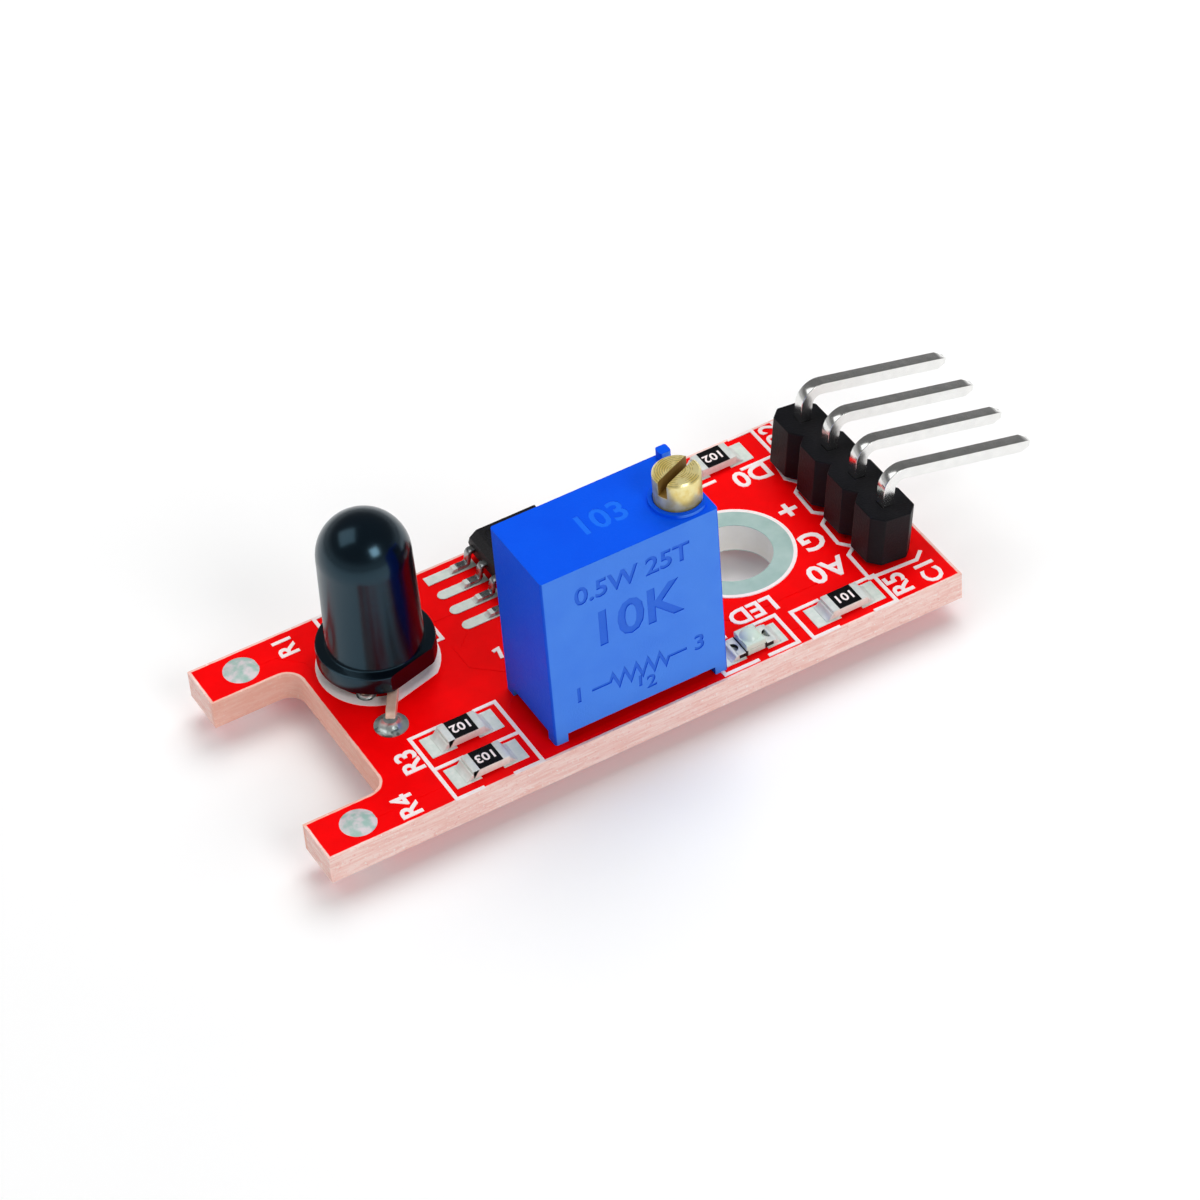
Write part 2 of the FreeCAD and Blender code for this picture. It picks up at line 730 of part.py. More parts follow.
def make_housing(pins):
    """The moulded blue box: open at the back, with feet, a post for the wheel and a boss for the screw."""
    shell = box(trimmer_left, trimmer_right, trimmer_front, trimmer_back, trimmer_floor, trimmer_top)
    upright = [edge for edge in shell.Edges
               if abs(edge.CenterOfMass.z - (trimmer_floor + trimmer_top) / 2) < 1e-6]
    shell = shell.makeFillet(trimmer_corner_radius, upright)
    foot = trimmer_foot_side
    for x in (trimmer_left, trimmer_right - foot):
        for y in (trimmer_front, trimmer_back - foot):
            block = box(x, x + foot, y, y + foot, top, trimmer_floor + trimmer_wall / 2)
            shell = shell.fuse(block.common(foot_outline()))
    front = wheel_front - wheel_gap
    pocket = box(pocket_left, pocket_right, front, trimmer_back, pocket_floor, pocket_top)
    boss = box(trimmer_right - trimmer_boss_width, trimmer_right, front, boss_back, boss_floor, trimmer_top)
    shell = shell.cut(pocket.cut(boss))
    shell = shell.cut(rod(screw_x, screw_y, pocket_floor, boss_floor, chamber_radius))
    shell = shell.cut(rod(screw_x, screw_y, boss_floor, trimmer_top, screw_bore_radius))
    pilot_radius = screw_pilot_radius + screw_running_gap
    shell = shell.cut(rod(screw_x, screw_y, pocket_floor - screw_pilot_depth, pocket_floor, pilot_radius))
    shell = shell.fuse(cross_rod(wheel_x, wheel_z, front, wiper_front, wheel_post_radius))
    collar = ring(screw_x, screw_y, trimmer_top, trimmer_top + collar_height,
                  screw_head_radius + screw_running_gap, collar_radius)
    outline = box(trimmer_left, trimmer_right - collar_setback, trimmer_front, trimmer_back,
                  trimmer_top, trimmer_top + collar_height)
    shell = shell.fuse(collar.common(outline))
    nub = box(trimmer_right - trimmer_nub_side, trimmer_right, trimmer_back - trimmer_nub_side, trimmer_back,
              trimmer_top - trimmer_wall / 2, trimmer_top + trimmer_nub_height)
    nub_edges = [edge for edge in nub.Edges
                 if abs(edge.CenterOfMass.z - trimmer_top - trimmer_nub_height / 2 + trimmer_wall / 4) < 1e-6]
    shell = shell.fuse(nub.makeFillet(trimmer_nub_corner, nub_edges))
    for pin in pins:
        shell = shell.cut(pin)
    return shell.removeSplitter()


def foot_outline():
    """The rounded outline of the housing, drawn down to the board, which trims the feet."""
    block = box(trimmer_left, trimmer_right, trimmer_front, trimmer_back, top, trimmer_top)
    upright = [edge for edge in block.Edges if abs(edge.CenterOfMass.z - (top + trimmer_top) / 2) < 1e-6]
    return block.makeFillet(trimmer_corner_radius, upright)


def make_comparator_lead(y, side):
    """One gull-wing lead, from inside the package to its foot on the pad."""
    middle = pad_top + comparator_standoff + comparator_body_height / 2
    foot_z = pad_top + comparator_lead_thickness / 2
    root_x = comparator_width / 2 - comparator_lead_root
    toe_x = comparator_lead_span / 2
    heel_x = toe_x - comparator_lead_foot
    shoulder_x = heel_x - comparator_lead_slant
    route = [(root_x, middle), (shoulder_x, middle), (heel_x, foot_z), (toe_x, foot_z)]
    lead = strip(route, comparator_lead_bend, comparator_lead_thickness, comparator_lead_width)
    if side < 0:
        lead.rotate(FreeCAD.Vector(0, 0, 0), UP, 180)
    lead.translate(FreeCAD.Vector(comparator_x, y, 0))
    return lead


def rectangle(length_x, length_y, z):
    half_x = length_x / 2
    half_y = length_y / 2
    corners = [(-half_x, -half_y), (half_x, -half_y), (half_x, half_y), (-half_x, half_y), (-half_x, -half_y)]
    return Part.makePolygon([FreeCAD.Vector(comparator_x + x, comparator_y + y, z) for x, y in corners])


def make_comparator_body(leads):
    """Moulded package, drafted above and below the leads, with a bevel over leads 1 to 4 and a dimple."""
    base = pad_top + comparator_standoff
    middle = base + comparator_body_height / 2
    crown = base + comparator_body_height
    slim_x = comparator_width - 2 * comparator_draft
    slim_y = comparator_length - 2 * comparator_draft
    widest = rectangle(comparator_width, comparator_length, middle)
    lower = Part.makeLoft([rectangle(slim_x, slim_y, base), widest], True, True)
    upper = Part.makeLoft([widest, rectangle(slim_x, slim_y, crown)], True, True)
    body = lower.fuse(upper)
    bevel_x = comparator_x - slim_x / 2
    reach = comparator_length
    wedge = Part.Face(Part.makePolygon([
        FreeCAD.Vector(bevel_x - comparator_bevel, comparator_y - reach, crown + comparator_bevel),
        FreeCAD.Vector(bevel_x - comparator_bevel, comparator_y - reach, crown - 2 * comparator_bevel),
        FreeCAD.Vector(bevel_x + 2 * comparator_bevel, comparator_y - reach, crown + comparator_bevel),
        FreeCAD.Vector(bevel_x - comparator_bevel, comparator_y - reach, crown + comparator_bevel),
    ])).extrude(FreeCAD.Vector(0, 2 * reach, 0))
    body = body.cut(wedge)
    dimple_x = bevel_x + comparator_bevel + comparator_dimple_from_bevel
    dimple_y = comparator_y + slim_y / 2 - comparator_dimple_from_end
    body = body.cut(rod(dimple_x, dimple_y, crown - comparator_dimple_depth, crown, comparator_dimple_radius))
    for lead in leads:
        body = body.cut(lead)
    return body.removeSplitter()


def make_resistor(x, y):
    """A ceramic chip, its two wrapped metal caps and the black glaze between them."""
    base = pad_top
    skin = resistor_cap_thickness
    crown = base + resistor_height
    chip = centred_box(x, y, chip_length - 2 * skin, chip_width, base + skin, crown - skin)
    glaze_length = chip_length - 2 * resistor_cap_length
    glaze_floor = crown - skin
    glaze = centred_box(x, y, glaze_length, chip_width, glaze_floor, glaze_floor + resistor_glaze_thickness)
    caps = []
    for side in (-1, 1):
        middle = x + side * (chip_length - resistor_cap_length) / 2
        cap = centred_box(middle, y, resistor_cap_length, chip_width, base, crown)
        caps.append(cap.cut(chip))
    return chip, caps, glaze


def make_indicator(x, y):
    """A small lamp: its base with half-round end notches, two metal ends and a clear domed lens."""
    base = pad_top
    crown = base + indicator_base_height
    skin = indicator_cap_thickness
    block = centred_box(x, y, chip_length, chip_width, base, crown)
    for side in (-1, 1):
        block = block.cut(rod(x + side * chip_length / 2, y, base, crown, indicator_notch_radius))
    middle = centred_box(x, y, chip_length - 2 * indicator_cap_length, chip_width, base, crown)
    core = block.common(centred_box(x, y, chip_length - 2 * skin, chip_width, base + skin, crown - skin))
    substrate = core.fuse(middle).removeSplitter()
    caps = block.cut(substrate).Solids
    lens_top = crown + indicator_lens_height
    lens = centred_box(x, y, indicator_lens_length, chip_width, crown, lens_top)
    shoulder, swell = cap_middle(indicator_dome_radius, indicator_dome_height)
    points = [(0, lens_top), (indicator_dome_radius, lens_top), (0, lens_top + indicator_dome_height)]
    lens = lens.fuse(turned(points, x, y, {1: (shoulder, lens_top + swell)}))
    return substrate, caps, lens.removeSplitter()


def make_chip_fillets():
    """Solder that climbs the ends of the chips and the toes of the comparator's leads."""
    wedges = []
    for name, x, y in chip_places() + indicator_places():
        height = min(fillet_height, indicator_base_height) if "indicator" in name else fillet_height
        for side in (-1, 1):
            end = x + side * chip_length / 2
            wedges.append(solder_wedge(end, y, side, chip_width, height, fillet_length))
    for y in comparator_rows():
        for side in (-1, 1):
            toe = comparator_x + side * comparator_lead_span / 2
            width = comparator_lead_width
            wedges.append(solder_wedge(toe, y, side, width, comparator_lead_thickness, fillet_length))
    return wedges


def solder_wedge(x, y, side, width, height, length):
    """A small hollow-faced wedge of solder against an upright face at x."""
    foot = FreeCAD.Vector(x + side * length, y - width / 2, pad_top)
    heel = FreeCAD.Vector(x, y - width / 2, pad_top)
    crest = FreeCAD.Vector(x, y - width / 2, pad_top + height)
    radius = (length ** 2 + height ** 2) / (2 * height)
    sweep = math.atan2(length, radius - height) / 2
    hollow_x = length - radius * math.sin(sweep)
    hollow_z = radius - radius * math.cos(sweep)
    hollow = FreeCAD.Vector(x + side * hollow_x, y - width / 2, pad_top + hollow_z)
    edges = [line(heel, foot), Part.Arc(foot, hollow, crest).toShape(), line(crest, heel)]
    return Part.Face(Part.Wire(edges)).extrude(FreeCAD.Vector(0, width, 0))


def lean(shape):
    """Lean a header piece about the body's right foot, so that its pins still pass their holes."""
    half = header_pitch / 2
    angle = math.radians(header_lean)
    shape.rotate(FreeCAD.Vector(half, 0, 0), ACROSS, header_lean)
    along = (-board_thickness / 2 - half * math.sin(angle)) / math.cos(angle)
    axis_x = half - half * math.cos(angle) + along * math.sin(angle)
    shape.translate(FreeCAD.Vector(header_from_mounting_hole - axis_x, 0, top))
    return shape


def pin_point(base, direction, width_turn):
    """The tapered end of a square pin, a short pyramid without its point."""
    sections = []
    for distance, side in ((0, header_pin_side), (header_pin_taper, header_pin_tip)):
        half = side / 2
        corners = [(-half, -half), (half, -half), (half, half), (-half, half), (-half, -half)]
        wire = Part.makePolygon([FreeCAD.Vector(distance, a, b) for a, b in corners])
        sections.append(wire)
    point = Part.makeLoft(sections, True, True)
    point.rotate(FreeCAD.Vector(0, 0, 0), ACROSS, width_turn)
    point.translate(base)
    return point


def make_header_pin(y):
    """A square pin: down through the board, up through the body, then bent over and drooping."""
    droop = math.radians(header_pin_droop - header_lean)
    setback = header_pin_bend_radius * math.tan((math.pi / 2 + droop) / 2)
    corner_z = header_height + header_pin_rise + setback
    straight = header_pin_reach + setback
    end_x = straight * math.cos(droop)
    end_z = corner_z - straight * math.sin(droop)
    low = -2 * (board_thickness + tail_length)
    route = [(0, low), (0, corner_z), (end_x, end_z)]
    pin = strip(route, header_pin_bend_radius, header_pin_side, header_pin_side)
    heading = header_pin_droop - header_lean
    pin = pin.fuse(pin_point(FreeCAD.Vector(end_x, 0, end_z), droop, heading)).removeSplitter()
    pin.translate(FreeCAD.Vector(0, y, 0))
    pin = lean(pin)
    reach = board_right - board_left
    trim = box(-reach, reach, -reach, reach, -reach, -tail_length)
    return pin.cut(trim)


def make_header_body(pins):
    """Black moulding of one eight-sided cell for each pin."""
    half = header_pitch / 2
    chamfer = header_chamfer
    corners = [
        (-half, -half + chamfer),
        (-half + chamfer, -half),
        (half - chamfer, -half),
        (half, -half + chamfer),
        (half, half - chamfer),
        (half - chamfer, half),
        (-half + chamfer, half),
        (-half, half - chamfer),
    ]
    cells = []
    for y in header_rows():
        outline = [FreeCAD.Vector(a, y + b, 0) for a, b in corners]
        cells.append(Part.Face(Part.makePolygon(outline + [outline[0]])).extrude(UP * header_height))
    body = lean(cells[0].fuse(cells[1:]).removeSplitter())
    for pin in pins:
        body = body.cut(pin)
    return body


def save(name, shapes):
    """Write one node, as one solid or as a group of separate solids."""
    if not isinstance(shapes, list):
        shapes = [shapes]
    solids = [solid for shape in shapes for solid in shape.Solids]
    result = solids[0] if len(solids) == 1 else Part.makeCompound(solids)
    if not result.isValid():
        print("not valid:", name)
    volume = sum(solid.Volume for solid in solids)
    print(f"{name}: {len(solids)} solid(s), {volume:.4f} mm3")
    result.exportStep(f"parts/{name}.step")


def main():
    os.makedirs("parts", exist_ok=True)

    save("board", make_board())
    save("mounting_ring", make_mounting_ring())
    save("top_pads", make_top_pads())
    save("prong_solder", make_prong_solder())

    leads = []
    for name, x, y, hole_y in sensor_lead_places():
        lead = make_sensor_lead(x, y, hole_y)
        leads.append(lead)
        save(name, lead)
    save("sensor_lens", make_sensor_lens(leads))
    joints = []
    for (name, x, y, hole_y), lead in zip(sensor_lead_places(), leads):
        joints.append(solder_joint(sensor_hole_x, hole_y, lead_hole_radius, wire_joint_radius,
                                   solder_height_above, lead))
    save("sensor_solder", joints)

    trimmer_pins = [make_trimmer_pin(x) for x in trimmer_pin_places()]
    for index, pin in enumerate(trimmer_pins):
        save(f"trimmer_pin_{index + 1}", pin)
    save("trimmer_housing", make_housing(trimmer_pins))
    save("trimmer_screw", make_screw())
    save("trimmer_o_ring", make_o_ring())
    save("trimmer_clip", make_clip())
    save("trimmer_worm_wheel", make_wheel())
    save("trimmer_wiper", make_wiper())
    save("trimmer_element", make_element())
    save("trimmer_track", make_track())
    save("trimmer_potting", make_potting(trimmer_pins))
    joints = []
    for x, pin in zip(trimmer_pin_places(), trimmer_pins):
        joints.append(solder_joint(x, pin_y, trimmer_pin_hole_radius, trimmer_joint_radius, 0, pin))
    save("trimmer_solder", joints)

    comparator_leads = []
    for side in (-1, 1):
        for y in comparator_rows():
            comparator_leads.append(make_comparator_lead(y, side))
    for index, lead in enumerate(comparator_leads):
        save(f"comparator_lead_{index + 1}", lead)
    save("comparator_body", make_comparator_body(comparator_leads))

    for name, x, y in chip_places():
        chip, caps, glaze = make_resistor(x, y)
        save(f"{name}_body", chip)
        save(f"{name}_caps", caps)
        save(f"{name}_glaze", glaze)
    for name, x, y in indicator_places():
        substrate, caps, lens = make_indicator(x, y)
        save(f"{name}_base", substrate)
        save(f"{name}_terminals", caps)
        save(f"{name}_lens", lens)
    save("chip_solder", make_chip_fillets())

    header = [make_header_pin(y) for y in header_rows()]
    for index, pin in enumerate(header):
        save(f"header_pin_{index + 1}", pin)
    save("header_body", make_header_body(header))
    joints = []
    for y, pin in zip(header_rows(), header):
        joints.append(solder_joint(header_from_mounting_hole, y, header_hole_radius,
                                   header_joint_radius, 0, pin))
    save("header_solder", joints)


main()
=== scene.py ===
import bpy
import math
from mathutils import Matrix, Vector


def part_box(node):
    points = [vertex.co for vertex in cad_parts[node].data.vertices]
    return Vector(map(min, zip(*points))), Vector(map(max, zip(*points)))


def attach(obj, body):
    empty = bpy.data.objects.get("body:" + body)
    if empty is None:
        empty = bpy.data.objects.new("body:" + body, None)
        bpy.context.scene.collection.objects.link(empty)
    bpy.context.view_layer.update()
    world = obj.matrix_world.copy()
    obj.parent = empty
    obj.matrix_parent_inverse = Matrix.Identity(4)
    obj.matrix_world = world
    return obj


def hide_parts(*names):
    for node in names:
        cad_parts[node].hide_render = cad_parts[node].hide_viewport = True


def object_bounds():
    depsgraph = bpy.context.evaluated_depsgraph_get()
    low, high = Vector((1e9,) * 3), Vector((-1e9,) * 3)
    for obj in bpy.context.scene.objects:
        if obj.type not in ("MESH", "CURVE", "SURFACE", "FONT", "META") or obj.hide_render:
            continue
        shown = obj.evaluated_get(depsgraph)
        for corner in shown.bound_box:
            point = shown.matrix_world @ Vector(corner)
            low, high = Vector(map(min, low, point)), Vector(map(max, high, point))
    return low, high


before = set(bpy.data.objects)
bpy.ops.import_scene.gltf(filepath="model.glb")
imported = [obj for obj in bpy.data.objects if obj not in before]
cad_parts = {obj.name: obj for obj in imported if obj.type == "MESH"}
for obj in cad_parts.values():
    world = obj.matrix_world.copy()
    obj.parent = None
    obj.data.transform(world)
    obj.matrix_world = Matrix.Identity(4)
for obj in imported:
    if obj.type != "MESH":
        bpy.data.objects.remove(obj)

cad_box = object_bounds()

# The camera stands where the photograph was taken: a long lens above the near left corner of the
# board, rolled a little. At these angles the corners, the holes and the tips of the pins fall where
# the picture has them.
mm = 0.001
photo_side = 1200
photo_focal_length = 4543.7
film_width = 36.0
camera_azimuth = math.radians(-26.505)
camera_elevation = math.radians(43.021)
camera_roll = math.radians(4.983)
camera_distance = 222.0 * mm
view_middle = Vector((-8.9, 0, 0.8)) * mm
view_shift_right = 1.266 * mm
view_shift_up = 1.583 * mm
nearest_view = 10 * mm

level = math.cos(camera_elevation)
camera_back = Vector((math.sin(camera_azimuth) * level, -math.cos(camera_azimuth) * level,
                      math.sin(camera_elevation)))
camera_right = Vector((math.cos(camera_azimuth), math.sin(camera_azimuth), 0))
camera_up = camera_back.cross(camera_right)
target = view_middle + camera_right * view_shift_right + camera_up * view_shift_up
frame_x = camera_right * math.cos(camera_roll) - camera_up * math.sin(camera_roll)
frame_y = camera_right * math.sin(camera_roll) + camera_up * math.cos(camera_roll)
bpy.ops.object.camera_add(location=target + camera_back * camera_distance)
camera = bpy.context.object
camera.rotation_euler = Matrix((frame_x, frame_y, camera_back)).transposed().to_euler()
camera.data.sensor_width = film_width
camera.data.lens = photo_focal_length / photo_side * film_width
camera.data.clip_start = nearest_view
bpy.context.scene.camera = camera
bpy.context.scene.view_settings.view_transform = "Standard"

# The circuit board: glass cloth and resin pressed to a stiff sheet, routed to its forked outline and
# drilled. Both faces carry copper under red lacquer. The cut edges and a thin rim round the outline
# show the bare laminate, and the big hole has a tinned barrel.
body_of_module = "module"
board_low, board_high = (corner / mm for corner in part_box("board"))
board_top = board_high.z
notch_depth = 4.45
notch_half_width = 4.8
notch_corner = 0.9
bare_rim = 0.13
mounting_bore = 2.05
barrel_wall = 0.03
cloth_pitch = 0.55


def rgb(red, green, blue):
    """A colour from its screen values, 0 to 255, as the shaders take it."""
    return tuple(((value / 255 + 0.055) / 1.055) ** 2.4 if value > 10 else value / 255 / 12.92
                 for value in (red, green, blue)) + (1,)


class Wire:
    """A value in a finish, with arithmetic that adds the nodes for it."""

    def __init__(self, finish, socket):
        self.finish = finish
        self.socket = socket

    def maths(self, operation, *others):
        """The result of a Math node on this value and the others."""
        return self.finish.node("ShaderNodeMath", {"operation": operation}, (self,) + others)

    def __add__(self, other):
        return self.maths("ADD", other)

    def __sub__(self, other):
        return self.maths("SUBTRACT", other)

    def __rsub__(self, other):
        return self.finish.node("ShaderNodeMath", {"operation": "SUBTRACT"}, (other, self))

    def __mul__(self, other):
        return self.maths("MULTIPLY", other)

    def __lt__(self, other):
        return self.maths("LESS_THAN", other)

    def __gt__(self, other):
        return self.maths("GREATER_THAN", other)

    def __abs__(self):
        return self.maths("ABSOLUTE")

    __radd__ = __add__
    __rmul__ = __mul__


class Finish:
    """The material of one of the module's surfaces, painted by nodes on its own place in millimetres."""

    def __init__(self, name, **settings):
        self.material = bpy.data.materials.new(name)
        self.material.use_nodes = True
        self.tree = self.material.node_tree
        self.surface = self.tree.nodes["Principled BSDF"]
        for socket, value in settings.items():
            self.surface.inputs[socket.replace("_", " ").title().replace("Ior", "IOR")].default_value = value
        spot = self.node("ShaderNodeTexCoord", output="Object")
        self.spot = self.node("ShaderNodeVectorMath", {"operation": "SCALE"}, {0: spot, "Scale": 1 / mm})
        self.facing = self.node("ShaderNodeTexCoord", output="Normal")

    def node(self, kind, settings=None, values=(), output=0):
        """Adds a node, sets it up, gives its sockets their values or links, and returns one output."""
        made = self.tree.nodes.new(kind)
        for setting, value in (settings or {}).items():
            setattr(made, setting, value)
        pairs = values.items() if isinstance(values, dict) else enumerate(values)
        for socket, value in pairs:
            self.join(value, made.inputs[socket])
        return Wire(self, made.outputs[output])

    def join(self, value, socket):
        """Links a wire to a socket, or sets the socket's own value."""
        if isinstance(value, Wire):
            self.tree.links.new(value.socket, socket)
        else:
            socket.default_value = value

    def part(self, vector, axis):
        """The X, Y or Z of a vector."""
        return self.node("ShaderNodeSeparateXYZ", None, (vector,), axis)

    def noise(self, scale, detail=2.0, stretch=(1, 1, 1)):
        """Cloudy noise from 0 to 1, scale being its grains to the millimetre."""
        vector = self.node("ShaderNodeVectorMath", {"operation": "MULTIPLY"}, {0: self.spot, 1: stretch})
        values = {"Vector": vector, "Scale": scale, "Detail": detail}
        return self.node("ShaderNodeTexNoise", None, values, "Fac")

    def ramp(self, value, low, high):
        """0 below low and 1 above high, smooth between them."""
        return self.node("ShaderNodeMapRange", {"interpolation_type": "SMOOTHSTEP"},
                         {"Value": value, "From Min": low, "From Max": high}, "Result")

    def mix(self, share, first, second):
        """The first colour where share is 0 and the second where it is 1."""
        return self.node("ShaderNodeMix", {"data_type": "RGBA"}, {0: share, 6: first, 7: second}, 2)

    def paint(self, colour=None, roughness=None, metallic=None):
        """Gives the surface what varies over it. What is left out keeps its plain value."""
        for socket, value in (("Base Color", colour), ("Roughness", roughness), ("Metallic", metallic)):
            if value is not None:
                self.join(value, self.surface.inputs[socket])

    def bump(self, height, depth):
        """Raises the surface by height, times a depth in millimetres."""
        values = {"Height": height, "Distance": depth * mm, "Strength": 1.0}
        normal = self.node("ShaderNodeBump", None, values)
        self.join(normal, self.surface.inputs["Normal"])


def lacquer(finish):
    """Colour, roughness and relief of the red lacquer, with the glass cloth just showing through."""
    cloud = finish.noise(0.7, 3.0)
    grain = finish.noise(9.0, 2.0)
    colour = finish.mix(finish.ramp(cloud, 0.35, 0.7), rgb(246, 0, 3), rgb(255, 0, 4))
    colour = finish.mix(finish.ramp(grain, 0.6, 0.85) * 0.3, colour, rgb(216, 0, 4))
    turn = 2 * math.pi / cloth_pitch
    warp = (finish.part(finish.spot, "X") * turn).maths("SINE")
    weft = (finish.part(finish.spot, "Y") * turn).maths("SINE")
    relief = warp * weft * 0.25 + cloud * 0.6 + grain * 0.15
    return colour, cloud * 0.12 + 0.3, relief


mask = Finish("red_lacquer", specular_ior_level=0.07)
mask_colour, mask_roughness, mask_relief = lacquer(mask)
skin_relief = 0.006
mask.paint(mask_colour, mask_roughness)
mask.bump(mask_relief, skin_relief)

laminate = Finish("board_laminate", specular_ior_level=0.07)
x = laminate.part(laminate.spot, "X")
y = laminate.part(laminate.spot, "Y")
face = laminate.ramp(abs(laminate.part(laminate.facing, "Z")), 0.6, 0.8)
middle_x = (board_low.x + board_high.x) / 2
half_length = (board_high.x - board_low.x) / 2
from_ends = half_length - abs(x - middle_x)
from_sides = board_high.y - abs(y)
corner_x = x - (board_low.x + notch_depth - notch_corner)
corner_y = abs(y) - (notch_half_width - notch_corner)
beyond_x = corner_x.maths("MAXIMUM", 0.0)
beyond_y = corner_y.maths("MAXIMUM", 0.0)
round_corner = (beyond_x * beyond_x + beyond_y * beyond_y).maths("SQRT")
from_notch = round_corner + corner_x.maths("MAXIMUM", corner_y).maths("MINIMUM", 0.0) - notch_corner
from_outline = from_ends.maths("MINIMUM", from_sides).maths("MINIMUM", from_notch)
ragged = laminate.noise(2.5, 2.0) * 0.05
covered = face * laminate.ramp(from_outline + ragged, bare_rim, bare_rim + 0.05)
cloud = laminate.noise(1.6, 3.0, (1, 1, 3))
plies = laminate.noise(1.2, 2.0, (0.6, 0.6, 7))
edge_colour = laminate.mix(laminate.ramp(plies, 0.3, 0.7), rgb(246, 200, 190), rgb(255, 226, 218))
edge_colour = laminate.mix(laminate.ramp(cloud, 0.5, 0.75) * 0.5, edge_colour, rgb(240, 184, 170))
speck = laminate.noise(7.0, 2.0)
edge_colour = laminate.mix(laminate.ramp(speck, 0.62, 0.72) * 0.35, edge_colour, rgb(228, 140, 132))
fibre_ends = laminate.noise(6.0, 1.0, (1, 1, 1.3))
edge_colour = laminate.mix(laminate.ramp(fibre_ends, 0.62, 0.74) * 0.7, edge_colour, rgb(255, 246, 242))
# Painted shade: the cut faces in and near the notch are painted a darker orange tan, standing for the shade
# and the red light bounced there.
edge_colour = laminate.mix((1 - laminate.ramp(from_notch, 0.05, 0.4)) * 0.5, edge_colour, rgb(240, 166, 138))
red, red_roughness, red_relief = lacquer(laminate)
colour = laminate.mix(covered, edge_colour, red)
bore = (x * x + y * y).maths("SQRT") < mounting_bore + barrel_wall
tin = laminate.mix(laminate.noise(2.0), rgb(246, 244, 236), rgb(255, 254, 248))
bare_roughness = 0.62
laminate.paint(laminate.mix(bore, colour, tin),
               bare_roughness - covered * bare_roughness + covered * red_roughness)
laminate.bump(red_relief * covered + (1 - covered) * (plies * 0.8 + speck), skin_relief)

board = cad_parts["board"]
board.data.materials.clear()
board.data.materials.append(laminate.material)

# The tracks are etched copper, 0.035 mm thick, under the same red lacquer, so they show as low flat
# ridges on both faces. They join the pads, the soldered holes and the header.
track_width = 0.36
track_height = 0.012
track_root = 0.01
line_step = 0.001
merge_gap = 0.0001


def alone(piece):
    """Selects one piece and nothing else."""
    bpy.ops.object.select_all(action="DESELECT")
    piece.select_set(True)
    bpy.context.view_layer.objects.active = piece


def settle(piece, name, finish, body, stands_for=()):
    """Puts the piece's place into its mesh, names it, coats it and hangs it on its body."""
    alone(piece)
    bpy.ops.object.transform_apply(location=True, rotation=True, scale=True)
    piece.name = name
    piece.data.name = name
    piece.data.materials.clear()
    piece.data.materials.append(finish.material)
    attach(piece, body)
    if stands_for:
        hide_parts(*stands_for)
    return piece


def gather(pieces):
    """Joins several pieces into the first one."""
    alone(pieces[0])
    for piece in pieces:
        piece.select_set(True)
    bpy.ops.object.join()
    return pieces[0]


def band(points, width, hidden, shown):
    """One flat line of even width and mitred corners, through points in millimetres."""
    closed = points[0] == points[-1]
    stops = points[:-1] if closed else points
    path = bpy.data.curves.new("line", "CURVE")
    path.dimensions = "2D"
    path.fill_mode = "NONE"
    path.extrude = abs(shown - hidden) / 2 * mm
    spline = path.splines.new("POLY")
    spline.points.add(len(stops) - 1)
    for point, (x, y) in zip(spline.points, stops):
        point.co = (x * mm, y * mm, 0, 1)
    spline.use_cyclic_u = closed
    line = bpy.data.objects.new("line", path)
    bpy.context.scene.collection.objects.link(line)
    line.location.z = (hidden + shown) / 2 * mm
    alone(line)
    bpy.ops.object.convert(target="MESH")
    bpy.ops.object.transform_apply(location=True, rotation=True, scale=True)
    widen = line.modifiers.new("widen", "SOLIDIFY")
    widen.thickness = width * mm
    widen.offset = 0
    widen.use_even_offset = True
    bpy.ops.object.modifier_apply(modifier=widen.name)
    bpy.ops.object.shade_flat()
    bpy.ops.object.mode_set(mode="EDIT")
    bpy.ops.mesh.select_all(action="SELECT")
    bpy.ops.mesh.remove_doubles(threshold=merge_gap * mm)
    bpy.ops.mesh.normals_make_consistent()
    bpy.ops.object.mode_set(mode="OBJECT")
    return line


def draw(lines, width, hidden, shown):
    """Flat lines through each list of points, as one piece. Each lies a hair above the last one, so that
    two that cross share no face."""
    hair = math.copysign(line_step, shown - hidden)
    return gather([band(points, width, hidden, shown + hair * number) for number, points in enumerate(lines)])


top_tracks = [
    [(-19.8, -1.27), (-19.8, -2.7), (-18.7, -3.67)],
    [(-19.8, 1.27), (-21.1, 2.6), (-21.1, 4.9), (-22.3, 6.15), (-24.1, 6.15)],
    [(-24.1, -6.15), (-18.5, -6.1)],
    [(-15.9, -3.67), (-14.9, -3.67), (-13.9, -2.3), (-12.6, -1.6), (-11.7, -3.45)],
    [(-15.9, -6.1), (-14.3, -7.05), (-5.2, -7.05), (-4.3, -6.1)],
    [(-13.4, 2.8), (-14.6, 1.7), (-14.6, 0.2), (-13.2, -1.1), (-9.2, -1.1), (-9.17, -3.45)],
    [(-13.4, 4.07), (-15.2, 4.07), (-15.2, 6.1)],
    [(-4.4, 4.07), (-3.3, 3.2), (-3.3, 0.9), (-4.2, -0.9), (-6.0, -1.6), (-6.6, -3.45)],
    [(-4.4, 6.6), (-3.6, 6.08)],
    [(-1.6, 6.08), (1.2, 6.2)],
    [(3.8, 6.2), (4.6, 5.4), (6.1, 3.81)],
    [(-1.6, -6.08), (1.2, -6.2)],
    [(3.8, -6.2), (4.6, -5.2), (6.1, -3.81)],
    [(-3.9, -2.5), (-2.4, -4.0), (2.8, -4.0), (4.5, -2.4), (6.1, -1.27)],
]
